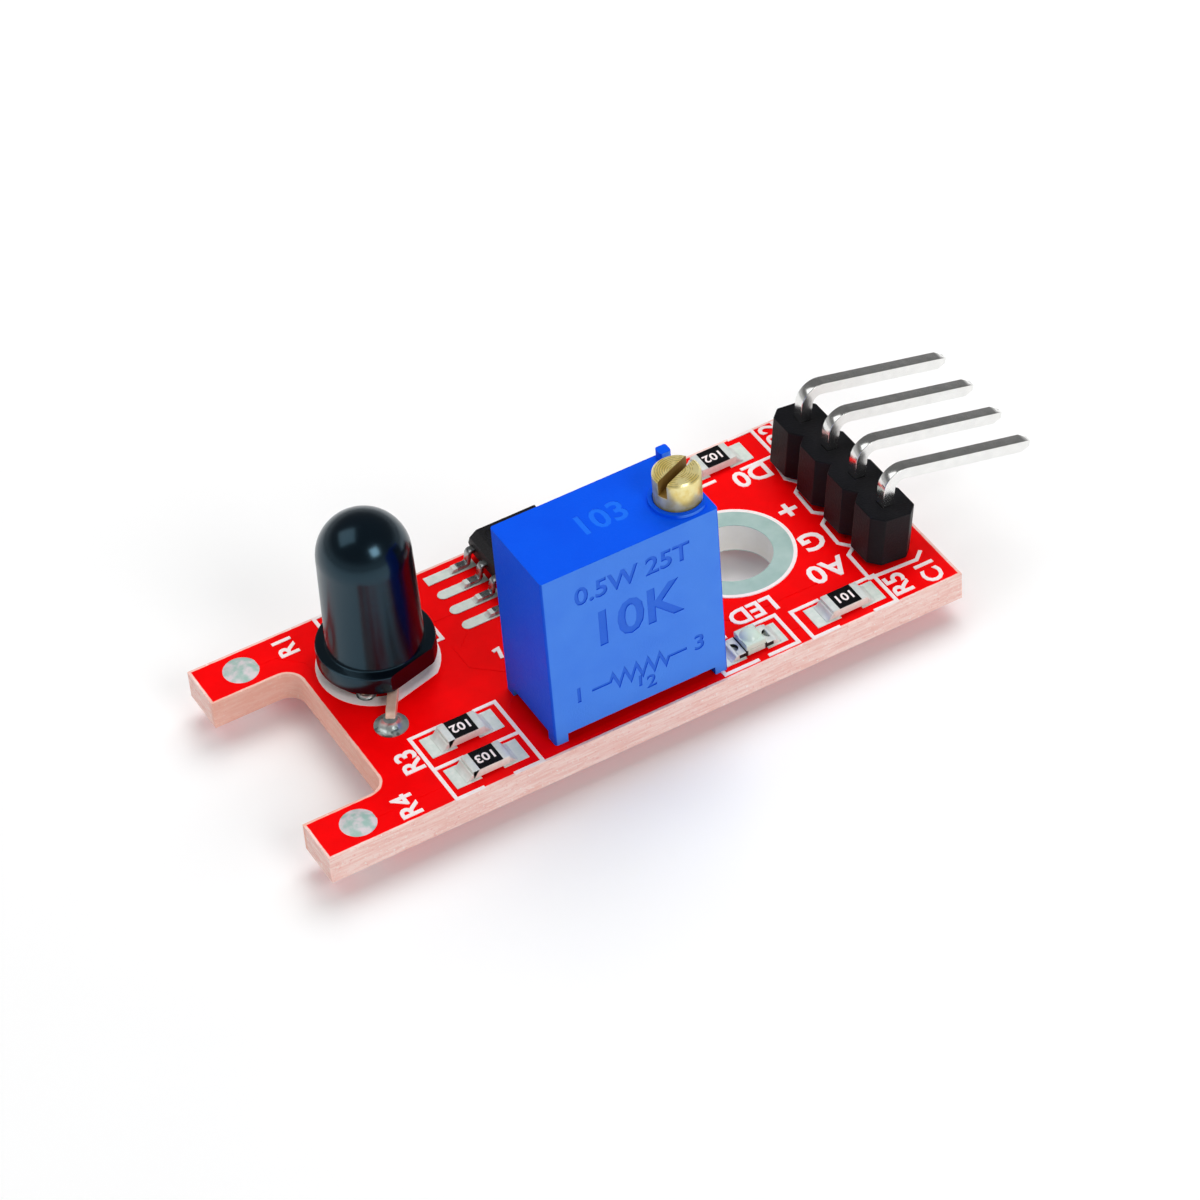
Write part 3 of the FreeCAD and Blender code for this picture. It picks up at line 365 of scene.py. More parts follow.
bottom_tracks = [
    [(-19.8, -1.27), (-17.4, -3.4), (-13.2, -3.4), (-11.7, -3.45)],
    [(-19.8, 1.27), (-17.0, 4.2), (-3.4, 4.2), (4.6, 4.2), (6.1, 3.81)],
    [(-9.17, -3.45), (-7.6, -1.6), (3.2, -4.6), (5.0, -4.6), (6.1, -3.81)],
    [(-6.6, -3.45), (-4.6, -2.9), (4.0, -2.9), (6.1, -1.27)],
    [(-24.1, -6.15), (-20.4, -6.15), (-18.2, -6.6), (3.6, -6.6), (7.6, -6.0), (7.6, 1.27), (6.1, 1.27)],
    [(-24.1, 6.15), (-19.8, 6.6), (4.2, 6.6), (7.3, 5.5)],
]
upper_side = draw(top_tracks, track_width, board_top - track_root, board_top + track_height)
settle(upper_side, "top_tracks", mask, body_of_module)
lower_side = draw(bottom_tracks, track_width, track_root, -track_height)
settle(lower_side, "bottom_tracks", mask, body_of_module)

# The white print is epoxy ink, screened on the lacquer: the outlines of the parts, the names of the
# pins and a number for each resistor. It is matt and a few hundredths of a millimetre thick.
print_height = 0.035
print_width = 0.19
ink_bottom = board_top - 0.005
ink_top = board_top + print_height
lens_low, lens_high = (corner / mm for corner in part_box("sensor_lens"))

ink = Finish("white_print_ink", specular_ior_level=0.2)
ink_cloud = ink.noise(6.0, 2.0)
ink.paint(ink.mix(ink_cloud, rgb(248, 226, 224), rgb(255, 250, 248)), ink_cloud * 0.15 + 0.5)
ink.bump(ink.noise(14.0, 2.0), 0.006)


def brackets(left, right, near, far, left_arms, right_arms):
    """Two facing brackets that mark a chip's place. Each has the lengths of its near and its far arm."""
    return [
        [(left + left_arms[0], near), (left, near), (left, far), (left + left_arms[1], far)],
        [(right - right_arms[0], near), (right, near), (right, far), (right - right_arms[1], far)],
    ]


edge_line = board_low.y + 0.12
bank_left = -19.54
bank_right = -14.9
bank_divider = -5.08
bank_far = -2.63
outlines = brackets(bank_left, bank_right, edge_line, bank_far, (1.5, 1.8), (1.55, 1.2))
outlines += [
    [(bank_left, bank_divider), (bank_left + 1.65, bank_divider)],
    [(bank_right, bank_divider), (bank_right - 1.4, bank_divider)],
]
outlines += brackets(bank_left, bank_right, -edge_line, -bank_far, (1.5, 1.5), (1.5, 0.55))
outlines.append([(-13.3, 0.44), (-12.98, 0.5), (-13.12, -0.2)])
outlines += brackets(0.17, 4.92, edge_line, -5.22, (1.5, 1.6), (1.3, 1.2))
outlines += brackets(-0.1, 5.56, -edge_line, 5.07, (1.5, 2.2), (1.4, 2.0))
lamp_low, lamp_high = (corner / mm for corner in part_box("output_indicator_base"))
lamp_outline = (lamp_low.x - 1.1, lamp_high.x + 1.1, lamp_low.y - 0.5, lamp_high.y + 0.5)
outlines += brackets(*lamp_outline, (1.9, 1.4), (1.7, 1.6))
ring_line_radius = 3.13
ring_sides = 48
ring_turns = [2 * math.pi * step / ring_sides for step in range(ring_sides)]
hole_ring = [(ring_line_radius * math.cos(turn), ring_line_radius * math.sin(turn)) for turn in ring_turns]
outlines.append(hole_ring + hole_ring[:1])
header_line = [
    (5.33, 4.88), (5.08, 3.25), (5.56, 2.55), (4.97, 2.08), (4.88, 0.35), (5.42, -0.2), (4.81, -0.68),
    (4.72, -2.3), (5.24, -2.92), (4.7, -3.3), (4.64, -5.3), (7.3, -5.45), (7.8, -5.0),
]
outlines.append(header_line)

flange_radius = (lens_high.x - lens_low.x) / 2
sensor_x = (lens_low.x + lens_high.x) / 2
sensor_y = lens_high.y - flange_radius
flat_direction = math.radians(-75)
flat_distance = 2.6
ring_inset = 0.19
flat_inset = 0.16
ring_radius = flange_radius - ring_inset
ring_flat = flat_distance - flat_inset
half_flat = math.acos(ring_flat / ring_radius)
ring_steps = 40
ring_points = []
for step in range(ring_steps + 1):
    turn = flat_direction + half_flat + (2 * math.pi - 2 * half_flat) * step / ring_steps
    ring_points.append((sensor_x + ring_radius * math.cos(turn), sensor_y + ring_radius * math.sin(turn)))
ring_points.append(ring_points[0])
sensor_ring_width = 0.62
sensor_print = draw([ring_points], sensor_ring_width, ink_bottom, ink_top)
letter_steps = 3
letter_weight = 0.022


def letters(text, x, y, size, turn, z_low=None, thickness=None):
    """Printed characters, centred on a point, with their heights and places in millimetres."""
    bpy.ops.object.select_all(action="DESELECT")
    low = ink_bottom if z_low is None else z_low
    deep = ink_top - ink_bottom if thickness is None else thickness
    middle = Vector((x, y, low + deep / 2)) * mm
    bpy.ops.object.text_add(location=middle, rotation=(0, 0, math.radians(turn)))
    label = bpy.context.object
    label.data.body = text
    label.data.size = size * mm
    label.data.align_x = "CENTER"
    label.data.align_y = "CENTER"
    label.data.extrude = deep / 2 * mm
    label.data.resolution_u = letter_steps
    label.data.offset = size * letter_weight * mm
    bpy.ops.object.convert(target="MESH")
    bpy.ops.object.transform_apply(location=True, rotation=True, scale=True)
    bpy.ops.object.shade_flat()
    return bpy.context.object


labels = [
    letters("D0", 3.85, 4.5, 1.65, 180),
    letters("+", 3.95, 1.28, 1.9, 180),
    letters("G", 3.76, -1.38, 1.8, 180),
    letters("A0", 3.25, -3.58, 1.8, 180),
    letters("LED", -1.3, -4.05, 1.5, 180),
    letters("R3", -20.2, -3.95, 1.5, 90),
    letters("R4", -21.67, -6.45, 1.5, 90),
    letters("R1", -21.54, 6.44, 1.4, 90),
    letters("R5", 5.68, -6.4, 1.45, 90),
    letters("C1", 7.45, -6.42, 1.45, 90),
    letters("R2", 6.4, 6.6, 1.45, 90),
]
outline_print = draw(outlines, print_width, ink_bottom, ink_top)
settle(gather([sensor_print, outline_print] + labels), "white_print", ink, body_of_module)

# The mounting ring and the pads are copper dipped in tin: bright, a little wavy and slightly grey-green
# where the tin lies thin. They stand a few hundredths of a millimetre above the lacquer.
soft_edge = 0.02
weld_gap = 0.0005
flat_within = math.radians(0.6)


def even_out(piece, angle):
    """Smooths round surfaces and keeps flat ones flat, right up to their eased edges."""
    alone(piece)
    bpy.ops.object.shade_smooth_by_angle(angle=math.radians(angle))
    weigh = piece.modifiers.new("weigh", "WEIGHTED_NORMAL")
    weigh.keep_sharp = True
    weigh.weight = 100
    bpy.ops.object.modifier_apply(modifier=weigh.name)


def dress(node, name, finish, body, edge, segments=2, angle=40):
    """A copy of a CAD piece with its edges eased, which then stands for that piece."""
    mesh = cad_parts[node].data.copy()
    piece = bpy.data.objects.new(name, mesh)
    bpy.context.scene.collection.objects.link(piece)
    alone(piece)
    bpy.ops.object.mode_set(mode="EDIT")
    bpy.ops.mesh.select_all(action="SELECT")
    bpy.ops.mesh.remove_doubles(threshold=weld_gap * mm)
    bpy.ops.mesh.dissolve_limited(angle_limit=flat_within)
    bpy.ops.object.mode_set(mode="OBJECT")
    ease = piece.modifiers.new("ease", "BEVEL")
    ease.width = edge * mm
    ease.segments = segments
    ease.limit_method = "ANGLE"
    ease.angle_limit = math.radians(angle)
    ease.use_clamp_overlap = True
    bpy.ops.object.modifier_apply(modifier=ease.name)
    even_out(piece, angle)
    return settle(piece, name, finish, body, (node,))


tinned = Finish("tinned_copper", metallic=0.15)
wave = tinned.noise(3.0, 3.0)
tinned.paint(tinned.mix(wave, rgb(196, 214, 204), rgb(248, 248, 242)), wave * 0.25 + 0.34)
tinned.bump(tinned.noise(2.2, 3.0), 0.03)

ring_tin = Finish("thin_tin", metallic=0.35)
wave = ring_tin.noise(1.6, 3.0)
ring_tin.paint(ring_tin.mix(wave, rgb(164, 200, 192), rgb(204, 226, 220)), wave * 0.2 + 0.34)
ring_tin.bump(ring_tin.noise(2.5, 3.0), 0.02)

dress("mounting_ring", "mounting_ring_tinned", ring_tin, body_of_module, soft_edge)
dress("top_pads", "pads_tinned", tinned, body_of_module, soft_edge)

# Solder plugs the two holes in the prongs. It froze as a low round cap on each face of the board,
# dull and a little uneven.
dull_solder = Finish("dull_solder", metallic=0.3)
bloom = dull_solder.noise(1.7, 3.0)
dull_colour = dull_solder.mix(dull_solder.ramp(bloom, 0.35, 0.65), rgb(172, 206, 196), rgb(234, 224, 228))
dull_solder.paint(dull_colour, bloom * 0.25 + 0.3)
dull_solder.bump(dull_solder.noise(2.6, 2.0), 0.06)
dress("prong_solder", "prong_caps", dull_solder, body_of_module, soft_edge)

# The sensor's black epoxy is cast round its leads in a mould: a flange with one flat to mark the
# cathode, a slightly tapered body and a round dome. It is glossy, and lets hardly any light through.
flange_height = 1.0
body_radius = 2.42
dome_radius = 2.32
dome_steps = 16
lens_sides = 96
flange_edge = 0.12


def lathe(stations, sides):
    """A turned piece on the Z axis, from the radius and height of each ring in millimetres, upwards."""
    radius, height = stations[0]
    bpy.ops.object.select_all(action="DESELECT")
    bpy.ops.mesh.primitive_circle_add(vertices=sides, radius=radius * mm, fill_type="NGON",
                                      location=(0, 0, height * mm))
    piece = bpy.context.object
    bpy.ops.object.mode_set(mode="EDIT")
    bpy.ops.mesh.select_all(action="SELECT")
    for next_radius, next_height in stations[1:]:
        rise = {"value": (0, 0, (next_height - height) * mm)}
        bpy.ops.mesh.extrude_region_move(TRANSFORM_OT_translate=rise)
        scale = next_radius / radius
        bpy.ops.transform.resize(value=(scale, scale, 1), center_override=(0, 0, next_height * mm))
        radius, height = next_radius, next_height
    bpy.ops.mesh.select_all(action="SELECT")
    bpy.ops.mesh.normals_make_consistent()
    bpy.ops.object.mode_set(mode="OBJECT")
    alone(piece)
    bpy.ops.object.transform_apply(location=True, rotation=True, scale=True)
    return piece


epoxy = Finish("black_epoxy", specular_ior_level=0.75, specular_tint=(0.4, 0.76, 1.0, 1))
haze = epoxy.noise(0.5, 2.0)
epoxy.paint(epoxy.mix(haze, rgb(1, 3, 9), rgb(4, 8, 16)), haze * 0.1 + 0.16)
epoxy.bump(epoxy.noise(1.2, 2.0), 0.004)

base = lens_low.z
flange_top = base + flange_height
spring = lens_high.z - dome_radius
stations = [
    (flange_radius - flange_edge / 2, base),
    (flange_radius, base + flange_edge / 2),
    (flange_radius, flange_top - flange_edge),
    (flange_radius - 0.3 * flange_edge, flange_top - 0.3 * flange_edge),
    (flange_radius - flange_edge, flange_top),
    (body_radius + 0.1, flange_top),
    (body_radius + 0.03, flange_top + 0.03),
    (body_radius, flange_top + 0.1),
    (dome_radius, spring),
]
for step in range(1, dome_steps):
    turn = math.pi / 2 * step / dome_steps
    stations.append((dome_radius * math.cos(turn), spring + dome_radius * math.sin(turn)))
stations.append((0.02, lens_high.z))
lens = lathe(stations, lens_sides)
lens.location = Vector((sensor_x, sensor_y, 0)) * mm
alone(lens)
bpy.ops.object.transform_apply(location=True, rotation=True, scale=True)
bpy.ops.mesh.primitive_cube_add(size=1)
offcut = bpy.context.object
offcut_width = 2
offcut.dimensions = (offcut_width * mm, 4 * flange_radius * mm, (flange_height + 0.001) * mm)
offcut.rotation_euler = (0, 0, flat_direction)
toward_flat = Vector((math.cos(flat_direction), math.sin(flat_direction), 0))
flange_middle = Vector((sensor_x, sensor_y, base + flange_height / 2))
offcut.location = (flange_middle + toward_flat * (flat_distance + offcut_width / 2)) * mm
alone(lens)
shave = lens.modifiers.new("flat", "BOOLEAN")
shave.object = offcut
shave.operation = "DIFFERENCE"
shave.solver = "EXACT"
bpy.ops.object.modifier_apply(modifier=shave.name)
bpy.data.objects.remove(offcut)
alone(lens)
bpy.ops.object.shade_smooth_by_angle(angle=math.radians(28))
settle(lens, "sensor_epoxy", epoxy, body_of_module, ("sensor_lens",))

# The sensor's two leads are square wires of tinned copper, stamped from one strip. They come down
# out of the epoxy, bend over the board and go through it, and their cut sides show coppery.
wire = Finish("sensor_wire", metallic=0.5)
wear = wire.noise(2.0, 2.0, (1, 1, 3))
wire.paint(wire.mix(wear, rgb(232, 172, 142), rgb(252, 222, 204)), wear * 0.2 + 0.34)
wire.bump(wire.noise(5.0, 2.0, (1, 1, 4)), 0.01)
dress("sensor_lead_near", "near_lead", wire, body_of_module, 0.05)
dress("sensor_lead_far", "far_lead", wire, body_of_module, 0.05)

# The leads are soldered by hand into tinned holes. The solder wets the pad and climbs the wire in a
# hollow curve, on both faces of the board. It is bright, with dark specks of flux.
joint_pad_radius = 0.85
pad_lift = 0.05
joint_sides = 40
curve_steps = 6

solder = Finish("solder", metallic=0.85)
bloom = solder.noise(2.4, 3.0)
flux = solder.ramp(solder.noise(1.9, 2.0), 0.52, 0.62)
solder_colour = solder.mix(bloom, rgb(176, 198, 196), rgb(244, 244, 240))
solder_colour = solder.mix(flux * 0.7, solder_colour, rgb(60, 84, 84))
solder.paint(solder_colour, solder.noise(5.0, 2.0) * 0.25 + 0.22)
solder.bump(solder.noise(3.5, 2.0), 0.03)


def meniscus(pad_radius, wire_radius, start, rise):
    """Rings of a hollow cone of solder, from the pad's edge to the wire, upwards or downwards."""
    rings = []
    for step in range(curve_steps + 1):
        turn = math.pi / 2 * step / curve_steps
        out = wire_radius + (pad_radius - wire_radius) * (1 - math.sin(turn))
        rings.append((out, start + rise * (1 - math.cos(turn))))
    return rings


def joint(x, y, hole_radius, wire_radius, above, below, upper_radius=joint_pad_radius):
    """One soldered hole, from the tip under the board to the tip above it."""
    lower = meniscus(joint_pad_radius, wire_radius, -pad_lift, -below)
    upper = meniscus(upper_radius, wire_radius, board_top + pad_lift, above)
    barrel = [(joint_pad_radius, 0), (hole_radius, 0), (hole_radius, board_top), (upper_radius, board_top)]
    piece = lathe(lower[::-1] + barrel + upper, joint_sides)
    piece.location = (x * mm, y * mm, 0)
    alone(piece)
    bpy.ops.object.transform_apply(location=True, rotation=True, scale=True)
    bpy.ops.object.shade_smooth_by_angle(angle=math.radians(50))
    return piece


solder_low, solder_high = (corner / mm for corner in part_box("sensor_solder"))
sensor_hole_x = (solder_low.x + solder_high.x) / 2
sensor_hole_y = solder_high.y - joint_pad_radius
lead_hole = 0.42
lead_radius = 0.36
tail_rise = 0.85
front_rise = 0.4
hidden_rise = 0.15
hidden_pad = 0.5
under_sensor = joint(sensor_hole_x, sensor_hole_y, lead_hole, lead_radius, hidden_rise, tail_rise, hidden_pad)
in_front = joint(sensor_hole_x, -sensor_hole_y, lead_hole, lead_radius, front_rise, tail_rise)
sensor_joints = gather([in_front, under_sensor])
settle(sensor_joints, "sensor_joints", solder, body_of_module, ("sensor_solder",))

# The trimmer's housing is moulded in blue nylon with a fine matt skin. Its markings are sunk in the
# mould: the sign for a variable resistor with the numbers of its pins, and its value. Its front face
# is painted paler as a painted sheen, and the floors of the sunk front marks are painted darker as
# painted shade.
body_low, body_high = (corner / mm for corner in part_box("trimmer_housing"))
foot_height = 0.5
housing_floor = board_top + foot_height
housing_top = 12.05
housing_front = body_low.y
mark_depth = 0.045
top_mark_depth = 0.02
mark_line = 0.17

blue = Finish("blue_nylon", specular_ior_level=0.1)
cloud = blue.noise(0.45, 3.0)
blue_base = blue.mix(cloud, rgb(0, 78, 230), rgb(2, 90, 240))
# Painted sheen: faces turned to the front are painted a paler, hazier blue, as if lit more strongly.
painted_front_sheen = blue.ramp(0 - blue.part(blue.facing, "Y"), 0.8, 0.97) * (cloud * 0.3 + 0.6)
blue_skin = blue.mix(painted_front_sheen, blue_base, rgb(84, 148, 244))
sunk = blue.part(blue.spot, "Y") - housing_front
# Painted shade: the floors of the marks sunk in the front are painted a darker blue.
painted_shade_in_front_marks = (sunk > mark_depth / 2) * (sunk < 2 * mark_depth) * (blue.part(blue.facing, "Y") < -0.5)
sunk_top = abs(blue.part(blue.spot, "Z") - housing_top + top_mark_depth) < top_mark_depth / 2
blue_skin = blue.mix(painted_shade_in_front_marks * 0.6, blue_skin, rgb(20, 84, 214))
blue_skin = blue.mix(sunk_top * 0.5, blue_skin, rgb(40, 132, 248))
blue.paint(blue_skin, blue.noise(7.0, 2.0) * 0.16 + 0.42)
blue.bump(blue.noise(11.0, 2.0), 0.012)

housing = dress("trimmer_housing", "blue_housing", blue, body_of_module, 0.1, 3)


def stand_on_front(piece, x, z):
    """Turns flat marks up against the housing's front, with their middle at x and z."""
    alone(piece)
    piece.rotation_euler = (math.radians(90), 0, 0)
    piece.location = (x * mm, (housing_front + mark_depth) * mm, z * mm)
    bpy.ops.object.transform_apply(location=True, rotation=True, scale=True)
    return piece


front_x = (body_low.x + body_high.x) / 2
front_z = (housing_floor + housing_top) / 2
cut_low = 0.0
cut_deep = 2 * mark_depth
zig_width = 3.2
zig_height = 0.42
zig_teeth = 5
sign_half = 2.6
sign_z = front_z - 2.9
zig_points = [(-sign_half, 0), (-zig_width / 2, 0)]
for tooth in range(zig_teeth):
    start = -zig_width / 2 + zig_width * tooth / zig_teeth
    zig_points.append((start + zig_width / zig_teeth / 4, zig_height))
    zig_points.append((start + 3 * zig_width / zig_teeth / 4, -zig_height))
zig_points += [(zig_width / 2, 0), (sign_half, 0)]
sign = draw([zig_points, [(0, -1.1), (0, -zig_height)]], mark_line, cut_low, cut_deep)
front_marks = [
    stand_on_front(sign, front_x, sign_z),
    stand_on_front(letters("1", 0, 0, 1.3, 0, cut_low, cut_deep), front_x - 3.3, sign_z),
    stand_on_front(letters("3", 0, 0, 1.3, 0, cut_low, cut_deep), front_x + 3.3, sign_z),
    stand_on_front(letters("2", 0, 0, 1.1, 0, cut_low, cut_deep), front_x + 0.6, front_z - 4.0),
    stand_on_front(letters("0.5W 25T", 0, 0, 1.5, 0, cut_low, cut_deep), front_x, front_z + 3.2),
    stand_on_front(letters("10K", 0, 0, 3.0, 0, cut_low, cut_deep), front_x, front_z + 0.6),
]
top_mark = letters("103", body_low.x + 4.6, (body_low.y + body_high.y) / 2, 1.9, 0,
                   housing_top - top_mark_depth, 2 * top_mark_depth)
marks = gather(front_marks + [top_mark])
alone(housing)
bpy.ops.mesh.customdata_custom_splitnormals_clear()
engrave = housing.modifiers.new("engrave", "BOOLEAN")
engrave.object = marks
engrave.operation = "DIFFERENCE"
engrave.solver = "EXACT"
engrave.use_self = True
bpy.ops.object.modifier_apply(modifier=engrave.name)
bpy.data.objects.remove(marks)
even_out(housing, 40)

# The trimmer's screw is turned from brass rod: a slotted head, a grooved shaft and a worm. The head
# is bright with fine turning rings. Its sawn slot is painted dark brown, partly tarnish and partly
# painted shade in the slot.
screw_low, screw_high = (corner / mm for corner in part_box("trimmer_screw"))
screw_x = (screw_low.x + screw_high.x) / 2
screw_y = (screw_low.y + screw_high.y) / 2
slot_angle = math.radians(24)
slot_half = 0.25
slot_depth = 0.88
head_radius = 1.16
saw_play = 0.012
turning_rings = 55.0
brass = Finish("brass")
off_x = brass.part(brass.spot, "X") - screw_x
off_y = brass.part(brass.spot, "Y") - screw_y
from_axis = (off_x * off_x + off_y * off_y).maths("SQRT")
across_slot = abs(off_y * math.cos(slot_angle) - off_x * math.sin(slot_angle))
height = brass.part(brass.spot, "Z")
in_slot = (across_slot < slot_half + saw_play) * (height < screw_high.z - 0.05)
in_slot = in_slot * (height > screw_high.z - slot_depth) * (from_axis < head_radius)
tarnish = brass.noise(1.8, 3.0)
gold = brass.mix(brass.ramp(tarnish, 0.3, 0.75), rgb(232, 206, 116), rgb(250, 238, 176))
rings = (from_axis * turning_rings).maths("SINE") * 0.5 + 0.5
brass_roughness = tarnish * 0.2 + rings * 0.08 + in_slot * 0.3 + 0.16
# The slot's walls and bottom are painted dark brown: partly tarnish, partly painted shade.
brass.paint(brass.mix(in_slot * 0.9, gold, rgb(132, 94, 22)), brass_roughness, 0.6 - in_slot * 0.35)
brass.bump(rings * 0.5 + tarnish, 0.008)
dress("trimmer_screw", "brass_screw", brass, "screw", 0.03, 2, 35)

# Inside the housing the screw carries a rubber ring and a spring clip, and turns a nylon worm wheel
# with the wiper, which slides on a printed track on a ceramic plate. Epoxy closes the back.
rubber = Finish("black_rubber", specular_ior_level=0.3)
dust = rubber.noise(6.0, 2.0)
rubber.paint(rubber.mix(dust, rgb(18, 18, 18), rgb(40, 40, 40)), dust * 0.2 + 0.6)
rubber.bump(dust, 0.005)
steel = Finish("spring_metal", metallic=1.0)
grain = steel.noise(4.0, 2.0, (1, 6, 1))
steel.paint(steel.mix(grain, rgb(176, 168, 150), rgb(220, 212, 196)), grain * 0.2 + 0.22)
steel.bump(grain, 0.004)
nylon = Finish("white_nylon", specular_ior_level=0.4)
cloud = nylon.noise(1.5, 2.0)
nylon.paint(nylon.mix(cloud, rgb(226, 222, 208), rgb(244, 241, 230)), cloud * 0.15 + 0.4)
nylon.bump(nylon.noise(9.0, 2.0), 0.006)
ceramic = Finish("ceramic", specular_ior_level=0.4)
grain = ceramic.noise(8.0, 2.0)
ceramic.paint(ceramic.mix(grain, rgb(226, 216, 206), rgb(250, 244, 238)), grain * 0.15 + 0.5)
ceramic.bump(grain, 0.008)
carbon = Finish("resistive_ink", specular_ior_level=0.3)
grain = carbon.noise(12.0, 2.0)
carbon.paint(carbon.mix(grain, rgb(24, 22, 22), rgb(54, 50, 48)), grain * 0.2 + 0.5)
carbon.bump(grain, 0.004)
potting = Finish("potting_epoxy", specular_ior_level=0.5)
swirl = potting.noise(0.9, 4.0)
potting.paint(potting.mix(swirl, rgb(22, 24, 32), rgb(46, 50, 62)), swirl * 0.2 + 0.25)
potting.bump(potting.noise(0.7, 3.0), 0.06)
inner = {
    "trimmer_o_ring": rubber,
    "trimmer_clip": steel,
    "trimmer_wiper": steel,
    "trimmer_worm_wheel": nylon,
    "trimmer_element": ceramic,
    "trimmer_track": carbon,
    "trimmer_potting": potting,
}
for node, finish in inner.items():
    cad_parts[node].data.materials.clear()
    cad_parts[node].data.materials.append(finish.material)

# The trimmer stands on three round tinned pins, cast in its epoxy back. They are soldered under the
# board, each in a joint like the sensor's.
plated = Finish("tinned_pin", metallic=1.0)
streak = plated.noise(2.0, 3.0)
plated.paint(plated.mix(streak, rgb(226, 226, 224), rgb(248, 248, 246)), streak * 0.1 + 0.14)
plated.bump(plated.noise(2.5, 2.0), 0.004)
pin_places = []
for number in (1, 2, 3):
    pin_low, pin_high = (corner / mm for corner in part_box(f"trimmer_pin_{number}"))
    pin_places.append(((pin_low.x + pin_high.x) / 2, (pin_low.y + pin_high.y) / 2))
    dress(f"trimmer_pin_{number}", f"trimmer_leg_{number}", plated, body_of_module, 0.04)


def joints(node, name, places, hole_radius, wire_radius, above, below):
    """A row of soldered holes, which stands for one CAD piece."""
    made = [joint(x, y, hole_radius, wire_radius, above, below) for x, y in places]
    return settle(gather(made), name, solder, body_of_module, (node,))


pin_hole = 0.4
pin_radius = 0.28
flush_rise = 0.02
joints("trimmer_solder", "trimmer_joints", pin_places, pin_hole, pin_radius, flush_rise, tail_rise)

# The comparator is a chip in a moulded package of black epoxy with a fine sparkle of filler. Its
# eight leads are tinned copper strip, bent like gull wings and soldered to the pads.
package = Finish("black_moulding", specular_ior_level=0.4)
filler = package.noise(14.0, 2.0)
package_colour = package.mix(package.ramp(filler, 0.45, 0.8), rgb(14, 14, 16), rgb(44, 44, 50))
package.paint(package_colour, filler * 0.2 + 0.45)
package.bump(filler, 0.012)
dress("comparator_body", "comparator_package", package, body_of_module, 0.06, 2, 30)
lead_tin = Finish("lead_tin", metallic=1.0)
cloud = lead_tin.noise(4.0, 2.0)
lead_tin.paint(lead_tin.mix(cloud, rgb(126, 130, 132), rgb(196, 198, 198)), cloud * 0.15 + 0.2)
lead_tin.bump(cloud, 0.01)
lead_numbers = range(1, 9)
leads_on_left = 4
for number in lead_numbers:
    dress(f"comparator_lead_{number}", f"comparator_wing_{number}", lead_tin, body_of_module,
          0.03)

# Each chip resistor is a ceramic plate with a resistive film under black glaze, printed with its
# value in white, and a tinned metal cap wrapped round each end.
glaze = Finish("black_glaze", specular_ior_level=0.4)
cloud = glaze.noise(3.0, 2.0)
glaze.paint(glaze.mix(cloud, rgb(2, 2, 4), rgb(10, 10, 14)), cloud * 0.1 + 0.24)
glaze.bump(cloud, 0.012)
chip_caps = Finish("chip_caps", metallic=0.3)
cloud = chip_caps.noise(3.0, 3.0)
chip_caps.paint(chip_caps.mix(cloud, rgb(206, 216, 210), rgb(250, 250, 246)), cloud * 0.25 + 0.34)
chip_caps.bump(cloud, 0.02)
codes = {1: "103", 2: "102", 3: "103", 4: "102", 5: "101"}
code_turn = 180
code_size = 0.76
code_thickness = 0.012
for number, code in codes.items():
    resistor = f"resistor_{number}"
    dress(f"{resistor}_body", f"{resistor}_ceramic", ceramic, body_of_module, 0.02)
    dress(f"{resistor}_caps", f"{resistor}_ends", chip_caps, body_of_module, 0.015)
    dress(f"{resistor}_glaze", f"{resistor}_coat", glaze, body_of_module, 0.02)
    low, high = (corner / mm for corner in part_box(f"{resistor}_glaze"))
    code_print = letters(code, (low.x + high.x) / 2, (low.y + high.y) / 2, code_size, code_turn,
                         high.z - code_thickness / 2, code_thickness)
    settle(code_print, f"{resistor}_code", ink, body_of_module)

# Each indicator is a lamp chip on a small white base with tinned ends, under a clear lens with a
# round dome. Beyond the ends of the lens the base is dark.
bulb_low, bulb_high = (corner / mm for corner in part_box("output_indicator_lens"))
lamp_base = Finish("lamp_base", specular_ior_level=0.4)
cloud = lamp_base.noise(4.0, 2.0)
plate_colour = lamp_base.mix(cloud, rgb(196, 214, 200), rgb(232, 240, 232))
beside_bulb = abs(lamp_base.part(lamp_base.spot, "X") - (bulb_low.x + bulb_high.x) / 2)
bulb_half = (bulb_high.x - bulb_low.x) / 2
dark_begins = bulb_half - 0.12
fully_dark = bulb_half - 0.04
shaded = lamp_base.ramp(beside_bulb, dark_begins, fully_dark)
lamp_base.paint(lamp_base.mix(shaded, plate_colour, rgb(14, 20, 18)), cloud * 0.2 + 0.4)
lamp_base.bump(cloud, 0.01)
clear = Finish("clear_lens", transmission_weight=0.15, ior=1.5)
cloud = clear.noise(2.0, 2.0)
clear.paint(clear.mix(cloud, rgb(214, 242, 222), rgb(244, 252, 244)), cloud * 0.1 + 0.14)
clear.bump(cloud, 0.01)
for lamp in ("power_indicator", "output_indicator"):
    dress(f"{lamp}_base", f"{lamp}_plate", lamp_base, body_of_module, 0.015)
    dress(f"{lamp}_terminals", f"{lamp}_ends", chip_caps, body_of_module, 0.01)
    dress(f"{lamp}_lens", f"{lamp}_dome", clear, body_of_module, 0.12, 4)

# Solder holds the chips, the indicators and the comparator's toes to their pads. It was paste, melted
# in an oven, and climbs each metal end in a small hollow slope, pale as the ends themselves.
slope_length = 0.42
slope_sink = 0.03
slope_hollow = 0.14
slope_softness = 0.04
resistor_climb = 0.34
indicator_climb = 0.28
toe_climb = 0.2
pad_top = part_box("top_pads")[1].z / mm


